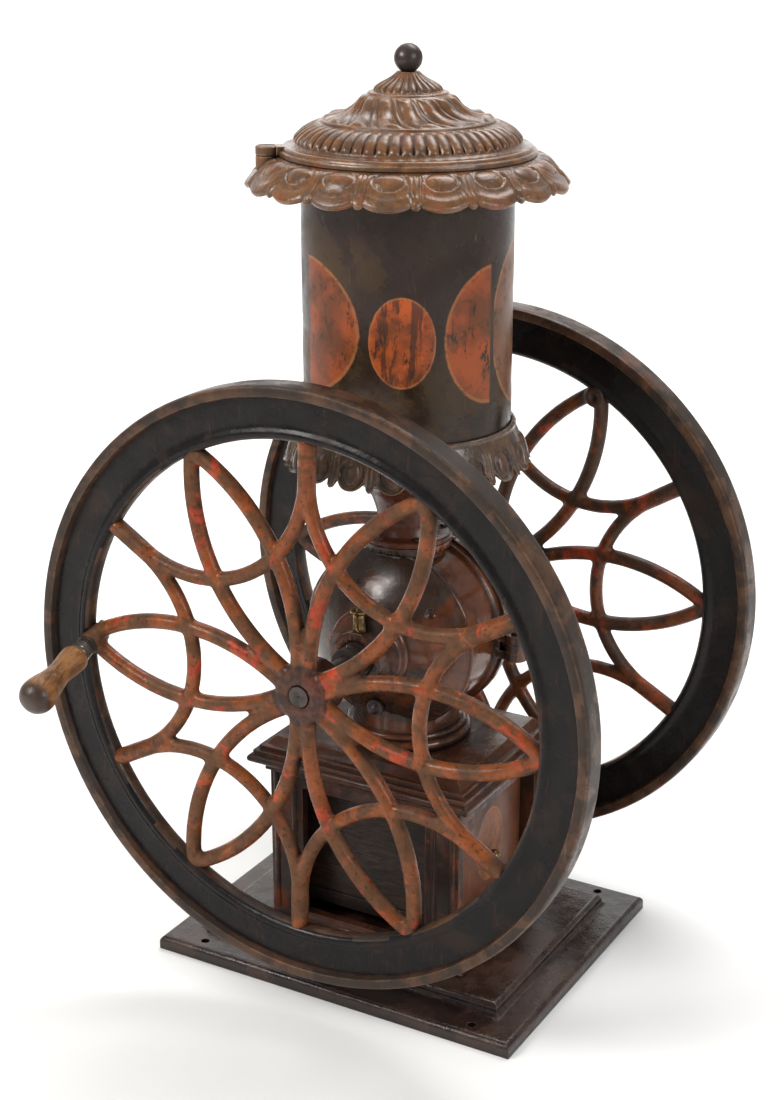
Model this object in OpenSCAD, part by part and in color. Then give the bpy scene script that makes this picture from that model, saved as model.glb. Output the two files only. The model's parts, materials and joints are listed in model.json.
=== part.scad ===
// Counter coffee mill with two spoked wheels, a drawer and a lidded hopper.
// Z is up, the shaft lies along Y with the crank wheel on the -Y side, and the
// drawer opens towards +X. The origin is the middle of the base's underside.

/* [Base] */
// Length of the base plate along X
base_len = 420; // [380:1:460]
// Width of the base plate along Y
base_wid = 338; // [330:1:370]
// Height of the flange at its outer part
flange_z = 15; // [12:0.5:17]
// Height of the raised middle
base_z = 28; // [25:0.5:30]
// Width of the flange at the drawer end
flange_x = 27; // [24:1:32]
// Width of the flange at the wheel sides
flange_y = 34; // [31:1:38]
// Distance between the base's screw holes along X
screw_dx = 322; // [300:1:340]
// Distance between the base's screw holes along Y
screw_dy = 306; // [296:1:312]
// Diameter of the base's screw holes
screw_hole_d = 9; // [7:0.5:11]

/* [Pedestal] */
// Length of the box along X
box_len = 225; // [215:1:235]
// Width of the box along Y
box_wid = 184; // [178:1:192]
// Height of the underside of the cornice
cornice_z = 206; // [200:1:212]
// Height of the flat top of the cornice
box_top = 243; // [240:1:247]
// Reach of the cornice's nose past the box
cornice_out = 18; // [14:1:22]
// Width of the corner posts on the wheel sides
post_w = 39; // [34:1:42]
// Depth of the side openings' jambs
wall_t = 10; // [9:0.5:12]
// Diameter of the chute hole in the cornice
chute_d = 92; // [80:1:98]

/* [Drawer] */
// How far the drawer front stands behind the face of the posts
front_set = 16; // [12:0.5:20]
// Thickness of the drawer front
front_t = 9; // [7:0.5:11]
// Width of the drawer tray along Y
tray_wid = 112; // [100:1:116]
// Height of the drawer tray
tray_h = 138; // [120:1:140]
// Wall of the drawer tray
tray_t = 6; // [4:0.5:8]
// Diameter of the drawer knob
knob_d = 15; // [12:0.5:18]

/* [Grinding case] */
// Height of the shaft over the underside of the base
axle_z = 358; // [356:0.5:361]
// Radius of the case's barrel
case_r = 94; // [91:0.5:96]
// Wall of the case
case_t = 8; // [6:0.5:9]
// Place of the joint between body and cover, from the middle
joint_y = 28; // [24:1:30]
// Thickness of each flange at that joint
joint_t = 7; // [6:0.5:8]
// Front of the bearing boss, from the middle
boss_y = 104; // [100:1:108]
// Radius of the bearing bosses
boss_r = 28; // [26:0.5:30]
// Radius of the case's foot flange
foot_r = 68; // [64:0.5:71]
// Radius of the dome's outer face
dome_r = 127; // [124:0.5:132]

/* [Shaft and burrs] */
// Diameter of the shaft
shaft_d = 21; // [18:0.5:23]
// Outer radius of the bearing bushes
bush_r = 15; // [14.5:0.5:16]
// Running clearance of turning fits, on the radius
run_fit = 0.05; // [0.02:0.01:0.09]
// Clearance of pieces that move past each other
move_gap = 0.3; // [0.25:0.05:0.5]
// Radius of the burrs
burr_r = 70; // [66:0.5:74]
// Gap between the burrs
burr_gap = 1.6; // [1.2:0.1:2.5]
// Radius of the feed worm
worm_r = 21.5; // [20:0.5:23]
// Pitch of the feed worm
worm_pitch = 22; // [18:1:26]

/* [Wheels] */
// Outside diameter of the wheels
wheel_d = 610; // [590:1:614]
// Width of the rims
rim_w = 30; // [26:1:34]
// Depth of the rims from the tread to their opening
rim_depth = 53; // [49:1:58]
// Middle of the crank wheel, from the middle of the mill
crank_wheel_y = 202; // [200:1:208]
// Middle of the plain wheel, from the middle of the mill
plain_wheel_y = 196; // [194:1:204]
// Number of petals in the tracery
petals = 6; // [5:1:7]
// Radius of the petals' bars
petal_bar = 8; // [7:0.5:9]
// Radius of the scallops' bars
scallop_bar = 7.5; // [6.5:0.5:8.5]
// Half width of a petal
petal_half = 38.7; // [34:0.1:42]
// Radius of the wheel hubs
hub_r = 29; // [26:0.5:32]
// Length of the wheel hubs
hub_len = 40; // [36:1:44]
// Turn of the crank wheel at rest
crank_turn = -2; // [-10:1:10]
// Turn of the plain wheel at rest
plain_turn = 1; // [-10:1:10]

/* [Crank grip] */
// Length of the wooden grip
grip_len = 84; // [70:1:100]
// Largest radius of the grip
grip_r = 18.5; // [16:0.5:20]
// Sag of the worn spindle below the shaft's direction
grip_sag = 18; // [0:1:24]
// Diameter of the spindle
spindle_d = 9; // [8:0.5:10]

/* [Hopper] */
// Outside radius of the hopper shell
shell_r = 104; // [102:0.5:106]
// Thickness of the hopper sheet
sheet_t = 1.5; // [1:0.1:2.2]
// Height of the top of the lower collar
collar_top = 584; // [580:1:588]
// Height of the crown's top face
crown_top = 845; // [835:1:860]
// Number of lobes on the lower collar
collar_lobes = 18; // [16:1:20]
// Number of lobes on the crown
crown_lobes = 18; // [16:1:20]
// Bearing of the middle of one of the crown's lobes, from +X
crown_turn = 12; // [0:1:20]
// Radius of the crown over its lobes
crown_r = 157; // [153:0.5:160]
// Bore of the throat
throat_bore_r = 23; // [20:0.5:25]

/* [Lid] */
// Radius of the lid's flange
lid_r = 124; // [122:0.5:126]
// Radius of the ball finial
ball_r = 13.7; // [12:0.1:16]
// Number of flutes on the lid's cone
cone_flutes = 24; // [18:1:28]
// Number of swirled gadroons
swirls = 14; // [12:1:18]
// Number of short gadroons on the lower band
band_gadroons = 56; // [40:1:60]
// Bearing of the lid's pivot, from +X
pivot_turn = -145; // [-150:1:-140]

/* [Hidden] */
$fn = 64;
// How far a cut runs past the face that it opens
over = 1;
// Thread clearance of bolts and screws in their holes
bolt_fit = 0.1;

// Base and pedestal
base_nose = 7;
base_wall = 9;
plinth_out = 10;
plinth_h = 18;
sill_z = base_z + plinth_h;
rail_z = cornice_z - 14;
tie_r = 2.5;
tie_x = box_len / 2 - post_w / 2;
tie_y = box_wid / 2 - wall_t / 2;
tie_top = cornice_z + 14;
tie_bottom = base_z - base_wall;
bead_r = 3;
cornice_wall = 10;
open_half_x = box_len / 2 - post_w;
open_half_y = box_wid / 2 - wall_t;
// Runners and drawer
runner_t = 3;
runner_leg = 12;
ledge_d = 10;
front_gap = 1;
front_x = box_len / 2 - front_set;
tray_z = sill_z + move_gap;
tray_back = -(box_len / 2 - wall_t - 2);
knob_z = 118;
knob_neck = 5;

// Case
dome_start = 39;
dome_centre = dome_start - sqrt(dome_r * dome_r - case_r * case_r);
flange_r = case_r + 4;
cover_flange_r = case_r + 7;
cover_r = case_r - 2;
cover_barrel = 48;
cover_dome_r = 115;
cover_centre = sqrt(cover_dome_r * cover_dome_r - cover_r * cover_r) - cover_barrel;
boss_root_r = boss_r + 12;
boss_step = 15;
boss_bead_y = boss_y - 27;
worm_wall = 6;
worm_bore = worm_r + 1.5;
foot_neck_r = foot_r - 12;
foot_bolt_r = foot_r - 10;
foot_bolt_hold = 8;
foot_bolt_thread_r = 2.5;
chute_y = -12;
chute_r = 36;
throat_seat_z = axle_z + 100;
throat_seat_r = 46;
throat_seat_t = 7;
throat_bolt_r = throat_seat_r - 7;
pin_x = case_r + 19;
pin_r = 3.5;
knuckle_r = 11.5;
knuckle_h = 9.4;
hinge_z = axle_z - 10;
clamp_x = -(case_r + 16);
clamp_z = axle_z + 14;
clamp_r = 4;
clamp_lug_r = 10;
lug_len = 13;
recess_r = 18;
recess_d = 7;
cup_r = 6;
cup_h = 22;
cup_hex_r = 7.2;
cup_stem_r = 3.5;
cup_sink = 8;
cup_y = boss_y - 7;

// Shaft and burrs
shaft_r = shaft_d / 2;
bush_bore_r = shaft_r + run_fit;
worm_front = 44;
burr_t = 9;
web_t = 7;
fixed_burr_y = joint_y - 1;
turning_burr_y = fixed_burr_y + burr_t + burr_gap;
worm_end = fixed_burr_y + burr_t;
burr_hub = 8;
burr_hub_r = 24;
burr_bolt_r = 2.5;
drive_pin_y = turning_burr_y + burr_t + burr_hub / 2;
burr_web_r = burr_r - 8;
burr_screw_r = burr_r - 14;
burr_eye_r = worm_r + 3;
drive_pin_r = 2.5;
sleeve_travel = 0.5;

// Wheels
wheel_r = wheel_d / 2;
rim_open_r = wheel_r - rim_depth;
petal_step = 360 / petals;
petal_root = 14;
lip_w = 12;
web_half = 7;
bead_half = 10;
hub_front = 9;
scallop_r = rim_open_r * sin(petal_step / 2);
stub_r = rim_open_r * cos(petal_step / 2);
set_screw_r = 4;
grip_mount_r = rim_open_r - 3;
grip_boss_r = 11.5;
boss_front = 13;
boss_back = -12;
washer_t = 2.4;
ferrule_start = boss_front + 2 * washer_t + move_gap;
ferrule_len = 12;
ferrule_r = 11;
grip_start = ferrule_start + ferrule_len;
grip_neck_r = 14.5;
grip_waist_r = 12.2;
grip_bore = grip_len - 14;
spindle_nut_t = 6.5;

// Hopper and lid
rim_t = 6;
shell_bottom = 562;
shell_inner = shell_r - sheet_t;
seat_r = shell_r + 4;
slip = 0.3;
neck_z = axle_z + 121;
neck_r = 30;
neck_sweep = 45;
skirt_reach = 20;
skirt_r = shell_r + skirt_reach;
skirt_z = collar_top - 43.5;
lobe_r = 17.5;
skirt_egg_ring_r = 13;
skirt_egg_tube_r = 12;
skirt_groove_r = 12.5;
crown_t = 5;
lid_z = crown_top + move_gap;
lid_h = 76;
lid_top = lid_z + lid_h;
lid_crown_t = 9;
swirl_turn = 24;
band_furrow_r = 3.2;
swirl_furrow_r = 4.2;
flute_r = 1.7;
dome_ring_r = lid_r - 40;
bell_ring_r = lid_r - 85;
shell_screw_r = 1.5;
throat_screw_r = 2;
pivot_r = lid_r + 11;
pivot_boss_r = 11;
pivot_screw_r = 4;
lid_ear_t = 9;
pivot_thread = 11;
pivot_head_r = 7;
pivot_sink = 3;
finial_stud_r = 4;
collar_screw_z = shell_bottom + 9;
crown_screw_z = crown_top - 20;
crown_cut_z = crown_top - 60;
crown_cut_h = 80;
crown_lobe_r = 43;
egg_inset = 15;
egg_drop = 11;
egg_rise = 2.6;
egg_tube_r = 18;
egg_ring_r = 20;
egg_groove_r = 18.5;

function arc_points(centre, radius, from, to, steps) = [
    for (i = [0 : steps])
        let (turn = from + (to - from) * i / steps)
        [centre[0] + radius * cos(turn), centre[1] + radius * sin(turn)]
];

// Places its children along the shaft, with their Z towards the crank wheel
module along_shaft() {
    translate([0, 0, axle_z]) rotate([90, 0, 0]) children();
}

// The same, with their Z towards the plain wheel
module along_back() {
    mirror([0, 1, 0]) along_shaft() children();
}

// Copies its children to the four corners of a rectangle
module corners(dx, dy) {
    for (sx = [-1, 1], sy = [-1, 1]) translate([sx * dx, sy * dy, 0]) children();
}

// Copies its children round Z
module ring_of(count, start = 0) {
    for (i = [0 : count - 1]) rotate([0, 0, start + i * 360 / count]) children();
}

module ring(outer, inner, height) {
    difference() {
        cylinder(r = outer, h = height);
        translate([0, 0, -over]) cylinder(r = inner, h = height + 2 * over);
    }
}

// Runs two edge profiles crosswise, so that their mouldings meet in mitres
module mitred(len, wid) {
    intersection() {
        rotate([90, 0, 0]) linear_extrude(height = wid, center = true) children(0);
        rotate([90, 0, 90]) linear_extrude(height = len, center = true) children(1);
    }
}

module base_edge(half, flange) {
    ogee = (base_z - flange_z) / 2;
    foot = half - flange;
    nose_x = half - base_nose;
    translate([-nose_x, 0]) square([2 * nose_x, flange_z]);
    translate([-half, 0]) square([2 * half, flange_z - base_nose]);
    for (s = [-1, 1]) translate([s * nose_x, flange_z - base_nose]) circle(r = base_nose);
    difference() {
        translate([-foot, flange_z - over]) square([2 * foot, ogee + over]);
        for (s = [-1, 1]) translate([s * foot, flange_z + ogee]) circle(r = ogee);
    }
    translate([-(foot - 2 * ogee), flange_z]) square([2 * (foot - 2 * ogee), base_z - flange_z]);
    for (s = [-1, 1]) translate([s * (foot - 2 * ogee), flange_z + ogee]) circle(r = ogee);
}

module base_plate() {
    pocket_x = base_len / 2 - flange_x - base_wall;
    pocket_y = base_wid / 2 - flange_y - base_wall;
    color([0.16, 0.11, 0.09]) difference() {
        mitred(base_len + over, base_wid + over) {
            base_edge(base_len / 2, flange_x);
            base_edge(base_wid / 2, flange_y);
        }
        difference() {
            translate([-pocket_x, -pocket_y, -over])
                cube([2 * pocket_x, 2 * pocket_y, base_z - base_wall + over]);
            corners(tie_x, tie_y) translate([0, 0, -2 * over]) ring(14, 9, base_z);
        }
        corners(screw_dx / 2, screw_dy / 2) translate([0, 0, -over])
            cylinder(d = screw_hole_d, h = base_z + 2 * over);
        corners(tie_x, tie_y) translate([0, 0, -over])
            cylinder(r = tie_r + bolt_fit, h = base_z + 2 * over);
    }
}

module plinth_edge(half) {
    step = plinth_h / 6;
    polygon(concat(
        [[-half, base_z], [half, base_z]],
        [[half + plinth_out, base_z], [half + plinth_out, base_z + step]],
        [[half + plinth_out - 3, base_z + 2 * step]],
        arc_points([half + plinth_out - 3, sill_z - step], 3 * step * 0.9, 270, 180, 6),
        [[half, sill_z], [-half, sill_z]],
        arc_points([-(half + plinth_out - 3), sill_z - step], 3 * step * 0.9, 0, -90, 6),
        [[-(half + plinth_out - 3), base_z + 2 * step]],
        [[-(half + plinth_out), base_z + step], [-(half + plinth_out), base_z]]
    ));
}

module pedestal_frame() {
    inner_x = box_len / 2 - wall_t;
    color([0.42, 0.24, 0.16]) difference() {
        union() {
            translate([-box_len / 2, -box_wid / 2, base_z])
                cube([box_len, box_wid, cornice_z - base_z]);
            mitred(box_len + 2 * plinth_out + over, box_wid + 2 * plinth_out + over) {
                plinth_edge(box_len / 2);
                plinth_edge(box_wid / 2);
            }
            for (s = [-1, 1], f = [-1, 1], k = [0, 1])
                translate([s * (box_len / 2 - 7 - k * 22), f * box_wid / 2, sill_z - over])
                    cylinder(r = bead_r, h = cornice_z - sill_z);
        }
        difference() {
            translate([-inner_x, -open_half_y, base_z - over])
                cube([2 * inner_x, 2 * open_half_y, cornice_z - base_z + 2 * over]);
            for (x = [-inner_x, inner_x - ledge_d]) translate([x - over / 2, -box_wid / 2, base_z])
                cube([ledge_d + over, box_wid, sill_z - runner_t - base_z]);
        }
        translate([-open_half_x, -box_wid, sill_z])
            cube([2 * open_half_x, 2 * box_wid, rail_z - sill_z]);
        translate([0, -open_half_y, sill_z]) cube([box_len, 2 * open_half_y, rail_z - sill_z]);
        corners(tie_x, tie_y) translate([0, 0, base_z - over])
            cylinder(r = tie_r + bolt_fit, h = cornice_z - base_z + 2 * over);
    }
}

module tie_bolts() {
    color([0.25, 0.22, 0.2]) corners(tie_x, tie_y) translate([0, 0, tie_bottom]) {
        cylinder(r = tie_r, h = tie_top - tie_bottom - over);
        translate([0, 0, -4]) cylinder(r = 5, h = 4, $fn = 6);
    }
}

module cornice_edge(half) {
    steps = [[4, 0], [4, 4], [11, 8], [13, 10]];
    top = box_top - cornice_z;
    upper = [[13, 20], [13, 24], [8, 24], [8, 29], [2, 29], [-2, top - 3], [-5, top]];
    polygon(concat(
        [for (p = steps) [half + p[0], cornice_z + p[1]]],
        [for (p = upper) [half + p[0], cornice_z + p[1]]],
        [for (i = [len(upper) - 1 : -1 : 0]) [-half - upper[i][0], cornice_z + upper[i][1]]],
        [for (i = [len(steps) - 1 : -1 : 0]) [-half - steps[i][0], cornice_z + steps[i][1]]]
    ));
    for (s = [-1, 1]) translate([s * (half + cornice_out - 5), cornice_z + 15]) circle(r = 5);
}

module cornice() {
    pocket_x = open_half_x - 2;
    pocket_y = open_half_y - 8;
    color([0.36, 0.27, 0.22]) difference() {
        mitred(box_len + 2 * cornice_out + over, box_wid + 2 * cornice_out + over) {
            cornice_edge(box_len / 2);
            cornice_edge(box_wid / 2);
        }
        translate([-pocket_x, -pocket_y, cornice_z - over])
            cube([2 * pocket_x, 2 * pocket_y, box_top - cornice_z - cornice_wall + over]);
        translate([0, 0, cornice_z]) cylinder(d = chute_d, h = box_top);
        corners(tie_x, tie_y) translate([0, 0, cornice_z - over])
            cylinder(r = tie_r + bolt_fit, h = tie_top - cornice_z + over);
        ring_of(4, 45) translate([foot_bolt_r, 0, box_top - cornice_wall - over])
            cylinder(r = foot_bolt_thread_r + bolt_fit, h = 2 * cornice_wall);
    }
}

module drawer_runners() {
    back_x = box_len / 2 - wall_t;
    length = back_x + front_x - front_t - slip;
    guide_y = tray_wid / 2 + move_gap;
    color([0.3, 0.27, 0.24]) for (s = [0, 1]) mirror([0, s, 0])
        translate([-back_x, guide_y - runner_leg, sill_z - runner_t]) {
            cube([length, runner_leg + runner_t, runner_t]);
            translate([0, runner_leg, 0]) cube([length, runner_t, runner_leg + runner_t]);
        }
}

module drawer_tray() {
    length = front_x - front_t - tray_back;
    color([0.3, 0.17, 0.11]) translate([tray_back, -tray_wid / 2, tray_z]) difference() {
        cube([length, tray_wid, tray_h]);
        translate([tray_t, tray_t, tray_t])
            cube([length - 2 * tray_t, tray_wid - 2 * tray_t, tray_h]);
    }
}

module drawer_front() {
    half = open_half_y - front_gap;
    height = rail_z - front_gap - tray_z;
    color([0.55, 0.4, 0.22]) difference() {
        translate([front_x - front_t, -half, tray_z]) cube([front_t, 2 * half, height]);
        translate([front_x - front_t - over, 0, knob_z]) rotate([0, 90, 0])
            cylinder(r = knob_neck / 2, h = front_t + 2 * over);
    }
}

module drawer_knob() {
    reach = 12;
    color([0.5, 0.36, 0.16]) translate([front_x, 0, knob_z]) rotate([0, 90, 0]) {
        translate([0, 0, -front_t]) cylinder(r = knob_neck / 2 - bolt_fit, h = front_t + over);
        rotate_extrude() intersection() {
            square([knob_d, reach + knob_d]);
            union() {
                square([knob_neck, 2]);
                square([knob_neck / 2 + 0.5, reach - 4]);
                translate([0, reach - 2]) circle(d = knob_d * 0.9);
            }
        }
    }
}

// The barrel and dome of a case half
module case_shape(back, barrel_r, start, ball_r, centre) {
    translate([0, 0, back]) cylinder(r = barrel_r, h = start - back);
    intersection() {
        translate([0, 0, centre]) sphere(r = ball_r);
        translate([0, 0, start - over]) cylinder(r = barrel_r, h = ball_r);
    }
}

// A bearing boss in two steps, from the middle of the case
module boss() {
    cylinder(r = boss_root_r, h = boss_y - boss_step);
    translate([0, 0, boss_bead_y]) rotate_extrude() translate([boss_root_r, 0]) circle(r = 4.5);
    cylinder(r = boss_r, h = boss_y);
}

// One knuckle of the side hinge, with the arm that carries it
module knuckle(low, high, arm_y) {
    translate([0, 0, hinge_z]) {
        translate([pin_x, joint_y, low]) cylinder(r = knuckle_r, h = high - low);
        translate([case_r - 4, arm_y, low]) cube([pin_x - case_r + 4, joint_t, high - low]);
    }
}

// A lug for the clamp screw, from the given place towards the plain wheel
module clamp_lug(start) {
    translate([clamp_x, start, clamp_z]) {
        rotate([-90, 0, 0]) cylinder(r = clamp_lug_r, h = lug_len);
        translate([0, 0, -clamp_lug_r]) cube([-clamp_x - case_r + 14, lug_len, 2 * clamp_lug_r]);
    }
}

// Keeps only what lies on the body's side of the joint
module before_joint() {
    intersection() {
        children();
        translate([-case_r, -case_r, 0]) cube([2 * case_r, case_r + joint_y, 2 * axle_z]);
    }
}

module cover_holes() {
    translate([pin_x, joint_y, hinge_z - 30]) cylinder(r = pin_r + bolt_fit, h = 60);
    translate([clamp_x, 0, clamp_z]) rotate([-90, 0, 0]) cylinder(r = clamp_r + bolt_fit, h = 80);
}

// The two small places low and high on the dome
module plug_place() {
    translate([2, -52, axle_z - 66]) rotate([90, 0, 0]) children();
}

module peep_place() {
    translate([60, -54, axle_z + 44]) rotate([90, 0, 0]) children();
}

// The foot's drum, with a rounded edge
module foot_drum() {
    cylinder(r = foot_r, h = 6);
    cylinder(r = foot_r - 5, h = 11);
    translate([0, 0, 6]) rotate_extrude() translate([foot_r - 5, 0]) circle(r = 5);
}

// The bead between the foot's drum and its neck
module foot_bead() {
    cylinder(r = foot_r - 9, h = 17);
    translate([0, 0, 14]) rotate_extrude() translate([foot_r - 9, 0]) circle(r = 3.4);
}

module case_outside() {
    outer = 3 * knuckle_h / 2;
    inner = knuckle_h / 2 + move_gap;
    along_shaft() {
        case_shape(-joint_y, case_r, dome_start, dome_r, dome_centre);
        translate([0, 0, -joint_y]) cylinder(r = flange_r, h = joint_t);
        translate([0, 0, dome_start - 3]) rotate_extrude() translate([case_r, 0]) circle(r = 3);
        boss();
    }
    before_joint() {
        translate([0, 0, box_top]) foot_bead();
        translate([0, 0, box_top]) cylinder(r = foot_neck_r, h = axle_z - box_top);
        translate([0, 0, axle_z]) cylinder(r = throat_seat_r - 6, h = throat_seat_z - axle_z - 3);
    }
    translate([0, 0, box_top]) foot_drum();
    translate([0, 0, throat_seat_z - throat_seat_t]) cylinder(r = throat_seat_r, h = throat_seat_t);
    knuckle(-outer, -inner, joint_y - joint_t);
    knuckle(inner, outer, joint_y - joint_t);
    clamp_lug(joint_y - lug_len);
}

// The hollow of the body, round the worm's tube and the throat's tube
module case_hollow() {
    difference() {
        along_shaft() translate([0, 0, -joint_y - over])
            cylinder(r = case_r - case_t, h = joint_y + dome_start - case_t + over);
        along_shaft() translate([0, 0, -fixed_burr_y]) {
            cylinder(r = worm_bore + worm_wall, h = fixed_burr_y + dome_start);
            cylinder(r = burr_web_r, h = web_t);
        }
        intersection() {
            translate([0, 0, axle_z]) cylinder(r = throat_bore_r + worm_wall, h = case_r);
            translate([-case_r, -case_r, axle_z]) cube([2 * case_r, case_r + fixed_burr_y, case_r]);
        }
    }
}

module case_body() {
    color([0.42, 0.22, 0.14]) difference() {
        case_outside();
        case_hollow();
        along_shaft() {
            translate([0, 0, -joint_y - over]) cylinder(r = worm_bore, h = joint_y + worm_front + over);
            cylinder(r = bush_r + run_fit, h = boss_y + over);
            translate([0, 0, boss_y - recess_d]) cylinder(r = recess_r, h = recess_d + over);
        }
        along_back() ring_of(3, 30) translate([burr_screw_r, 0, fixed_burr_y - web_t - over])
            cylinder(r = burr_bolt_r + bolt_fit, h = web_t + 2 * over);
        translate([0, 0, axle_z]) cylinder(r = throat_bore_r, h = axle_z);
        translate([0, chute_y, box_top - over]) cylinder(r = chute_r, h = 40);
        ring_of(4, 45) translate([foot_bolt_r, 0, box_top - over])
            cylinder(r = foot_bolt_thread_r + bolt_fit, h = foot_bolt_hold + 1 + over);
        ring_of(4, 45) translate([throat_bolt_r, 0, throat_seat_z - 6])
            cylinder(r = 2 + bolt_fit, h = 6 + over);
        cover_holes();
        translate([0, -cup_y, axle_z + boss_r - cup_sink]) cylinder(r = cup_stem_r + bolt_fit, h = 20);
        plug_place() cylinder(r = 5 + bolt_fit, h = 30);
        peep_place() cylinder(r = 5, h = 30);
    }
}

module case_cover() {
    joint = joint_y + slip;
    color([0.38, 0.2, 0.13]) difference() {
        union() {
            along_back() {
                case_shape(joint, cover_r, cover_barrel, cover_dome_r, -cover_centre);
                translate([0, 0, joint]) cylinder(r = cover_flange_r, h = joint_t);
                translate([0, 0, joint]) intersection() {
                    translate([0, 0, -joint]) boss();
                    cylinder(r = cover_r, h = boss_y);
                }
            }
            knuckle(-knuckle_h / 2, knuckle_h / 2, joint);
            clamp_lug(joint);
        }
        along_back() {
            translate([0, 0, joint - over]) cylinder(r = cover_r - case_t, h = cover_barrel - joint + 6);
            translate([0, 0, joint]) cylinder(r = 48, h = 42);
            cylinder(r = bush_r + bolt_fit, h = boss_y + over);
        }
        // Room for the throat's seat, which is cast on the body
        translate([0, 0, throat_seat_z - throat_seat_t - slip])
            cylinder(r = throat_seat_r + slip, h = 2 * throat_seat_t);
        cover_holes();
        translate([0, cup_y, axle_z + boss_r - cup_sink]) cylinder(r = cup_stem_r + bolt_fit, h = 20);
    }
}

module cover_hinge_pin() {
    low = -3 * knuckle_h / 2;
    color([0.3, 0.27, 0.25]) translate([pin_x, joint_y, hinge_z]) {
        translate([0, 0, low - 2]) cylinder(r = pin_r, h = 3 * knuckle_h + 4);
        translate([0, 0, -low]) cylinder(r = pin_r + 2, h = 3);
    }
}

module cover_clamp_screw() {
    start = joint_y - lug_len;
    color([0.4, 0.32, 0.26]) translate([clamp_x, 0, clamp_z]) rotate([-90, 0, 0]) {
        translate([0, 0, start - 2]) cylinder(r = clamp_r, h = 2 * lug_len + 10);
        translate([0, 0, start - 9]) cylinder(r = 8, h = 9);
        translate([0, 0, start - 13]) cylinder(r = 5, h = 5);
        translate([0, 0, joint_y + slip + lug_len]) cylinder(r = 7, h = 5, $fn = 6);
    }
}

module foot_bolts() {
    low = box_top - cornice_wall;
    color([0.3, 0.26, 0.24]) ring_of(4, 45) translate([foot_bolt_r, 0, low]) {
        translate([0, 0, -3.5]) cylinder(r = 4.5, h = 3.5, $fn = 6);
        translate([0, 0, -over]) cylinder(r = foot_bolt_thread_r, h = cornice_wall + foot_bolt_hold + over);
    }
}

module inspection_plug() {
    face = 15;
    color([0.45, 0.4, 0.36]) plug_place() {
        cylinder(r = 5, h = face + over);
        translate([0, 0, face]) cylinder(r = 9, h = 4);
        translate([-4, -4, face + 3]) cube([8, 8, 7]);
    }
}

module bush(front, length) {
    translate([0, 0, front - length]) ring(bush_r, bush_bore_r, length);
}

module front_bush() {
    color([0.66, 0.48, 0.22]) along_shaft() bush(boss_y - recess_d - sleeve_travel, 42);
}

module rear_bush() {
    color([0.66, 0.48, 0.22]) along_back() bush(boss_y, 30);
}

module regulator_nut() {
    color([0.32, 0.27, 0.23]) along_shaft() translate([0, 0, boss_y - recess_d + move_gap])
        difference() {
            union() {
                cylinder(r = recess_r - move_gap, h = recess_d - move_gap);
                translate([0, 0, recess_d - 2 * move_gap]) cylinder(r = 16, h = 4, $fn = 8);
            }
            translate([0, 0, -over]) cylinder(r = shaft_r + over, h = recess_d + 8);
            ring_of(4) translate([13.5, 0, recess_d]) cylinder(r = 1.6, h = 6);
        }
}

module oil_cup() {
    brim = cup_r + 3;
    color([0.72, 0.55, 0.2]) translate([0, 0, axle_z + boss_r]) difference() {
        union() {
            translate([0, 0, over - cup_sink]) cylinder(r = cup_stem_r, h = cup_sink);
            translate([0, 0, 0.2]) cylinder(r = cup_hex_r, h = 6, $fn = 6);
            translate([0, 0, 5]) cylinder(r = cup_r, h = cup_h - 5);
            translate([0, 0, cup_h - 4]) cylinder(r1 = cup_r, r2 = brim, h = 3);
            translate([0, 0, cup_h - 1.2]) cylinder(r = brim, h = 1.6);
        }
        translate([0, 0, 8]) cylinder(r = cup_r - 1.5, h = cup_h);
    }
}

module front_oil_cup() {
    translate([0, -cup_y, 0]) oil_cup();
}

module rear_oil_cup() {
    translate([0, cup_y, 0]) oil_cup();
}

module main_shaft() {
    front = crank_wheel_y + hub_front + 0.5;
    back = plain_wheel_y + hub_front + 0.5;
    color([0.35, 0.31, 0.29]) along_shaft() difference() {
        translate([0, 0, -back]) cylinder(r = shaft_r, h = front + back);
        translate([0, 0, -drive_pin_y]) rotate([0, 90, 0])
            cylinder(r = drive_pin_r + bolt_fit, h = 60, center = true);
        translate([0, 0, front - 1.5]) cylinder(r1 = 0.4, r2 = 2.6, h = 2);
    }
}

module shaft_collar() {
    bore = shaft_r + run_fit;
    color([0.3, 0.25, 0.22]) along_shaft() translate([0, 0, boss_y + 8]) difference() {
        union() {
            ring(17, bore, 11);
            translate([0, 0, 5.5]) rotate([-90, 0, 0]) cylinder(r = 3, h = 20, $fn = 4);
        }
        translate([0, 0, -over]) cylinder(r = bore, h = 20);
    }
}

// A screw flight twisted round its core, up to the burrs' eye
module feed_worm() {
    length = worm_front - 2 + worm_end;
    core = shaft_r + 3.5;
    color([0.36, 0.3, 0.27]) along_shaft() translate([0, 0, -worm_end]) difference() {
        union() {
            linear_extrude(height = length, twist = -360 * length / worm_pitch, slices = 30, $fn = 12)
                translate([shaft_r + 1, -4]) square([worm_r - shaft_r - 1.6, 8]);
            cylinder(r = core, h = length);
        }
        translate([0, 0, -over]) cylinder(r = shaft_r + run_fit, h = length + 2 * over);
    }
}

// A grinding disc whose face has slanting furrows
module burr_disc(eye) {
    difference() {
        ring(burr_r, eye, burr_t);
        ring_of(12) translate([burr_eye_r + 6, -8, burr_t - 2.5]) rotate([0, 0, 20])
            cube([burr_r, 3, 4]);
        ring_of(24, 6) translate([burr_r - 18, -4, burr_t - 1.5]) rotate([0, 0, 25])
            cube([30, 2, 3]);
    }
}

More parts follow.
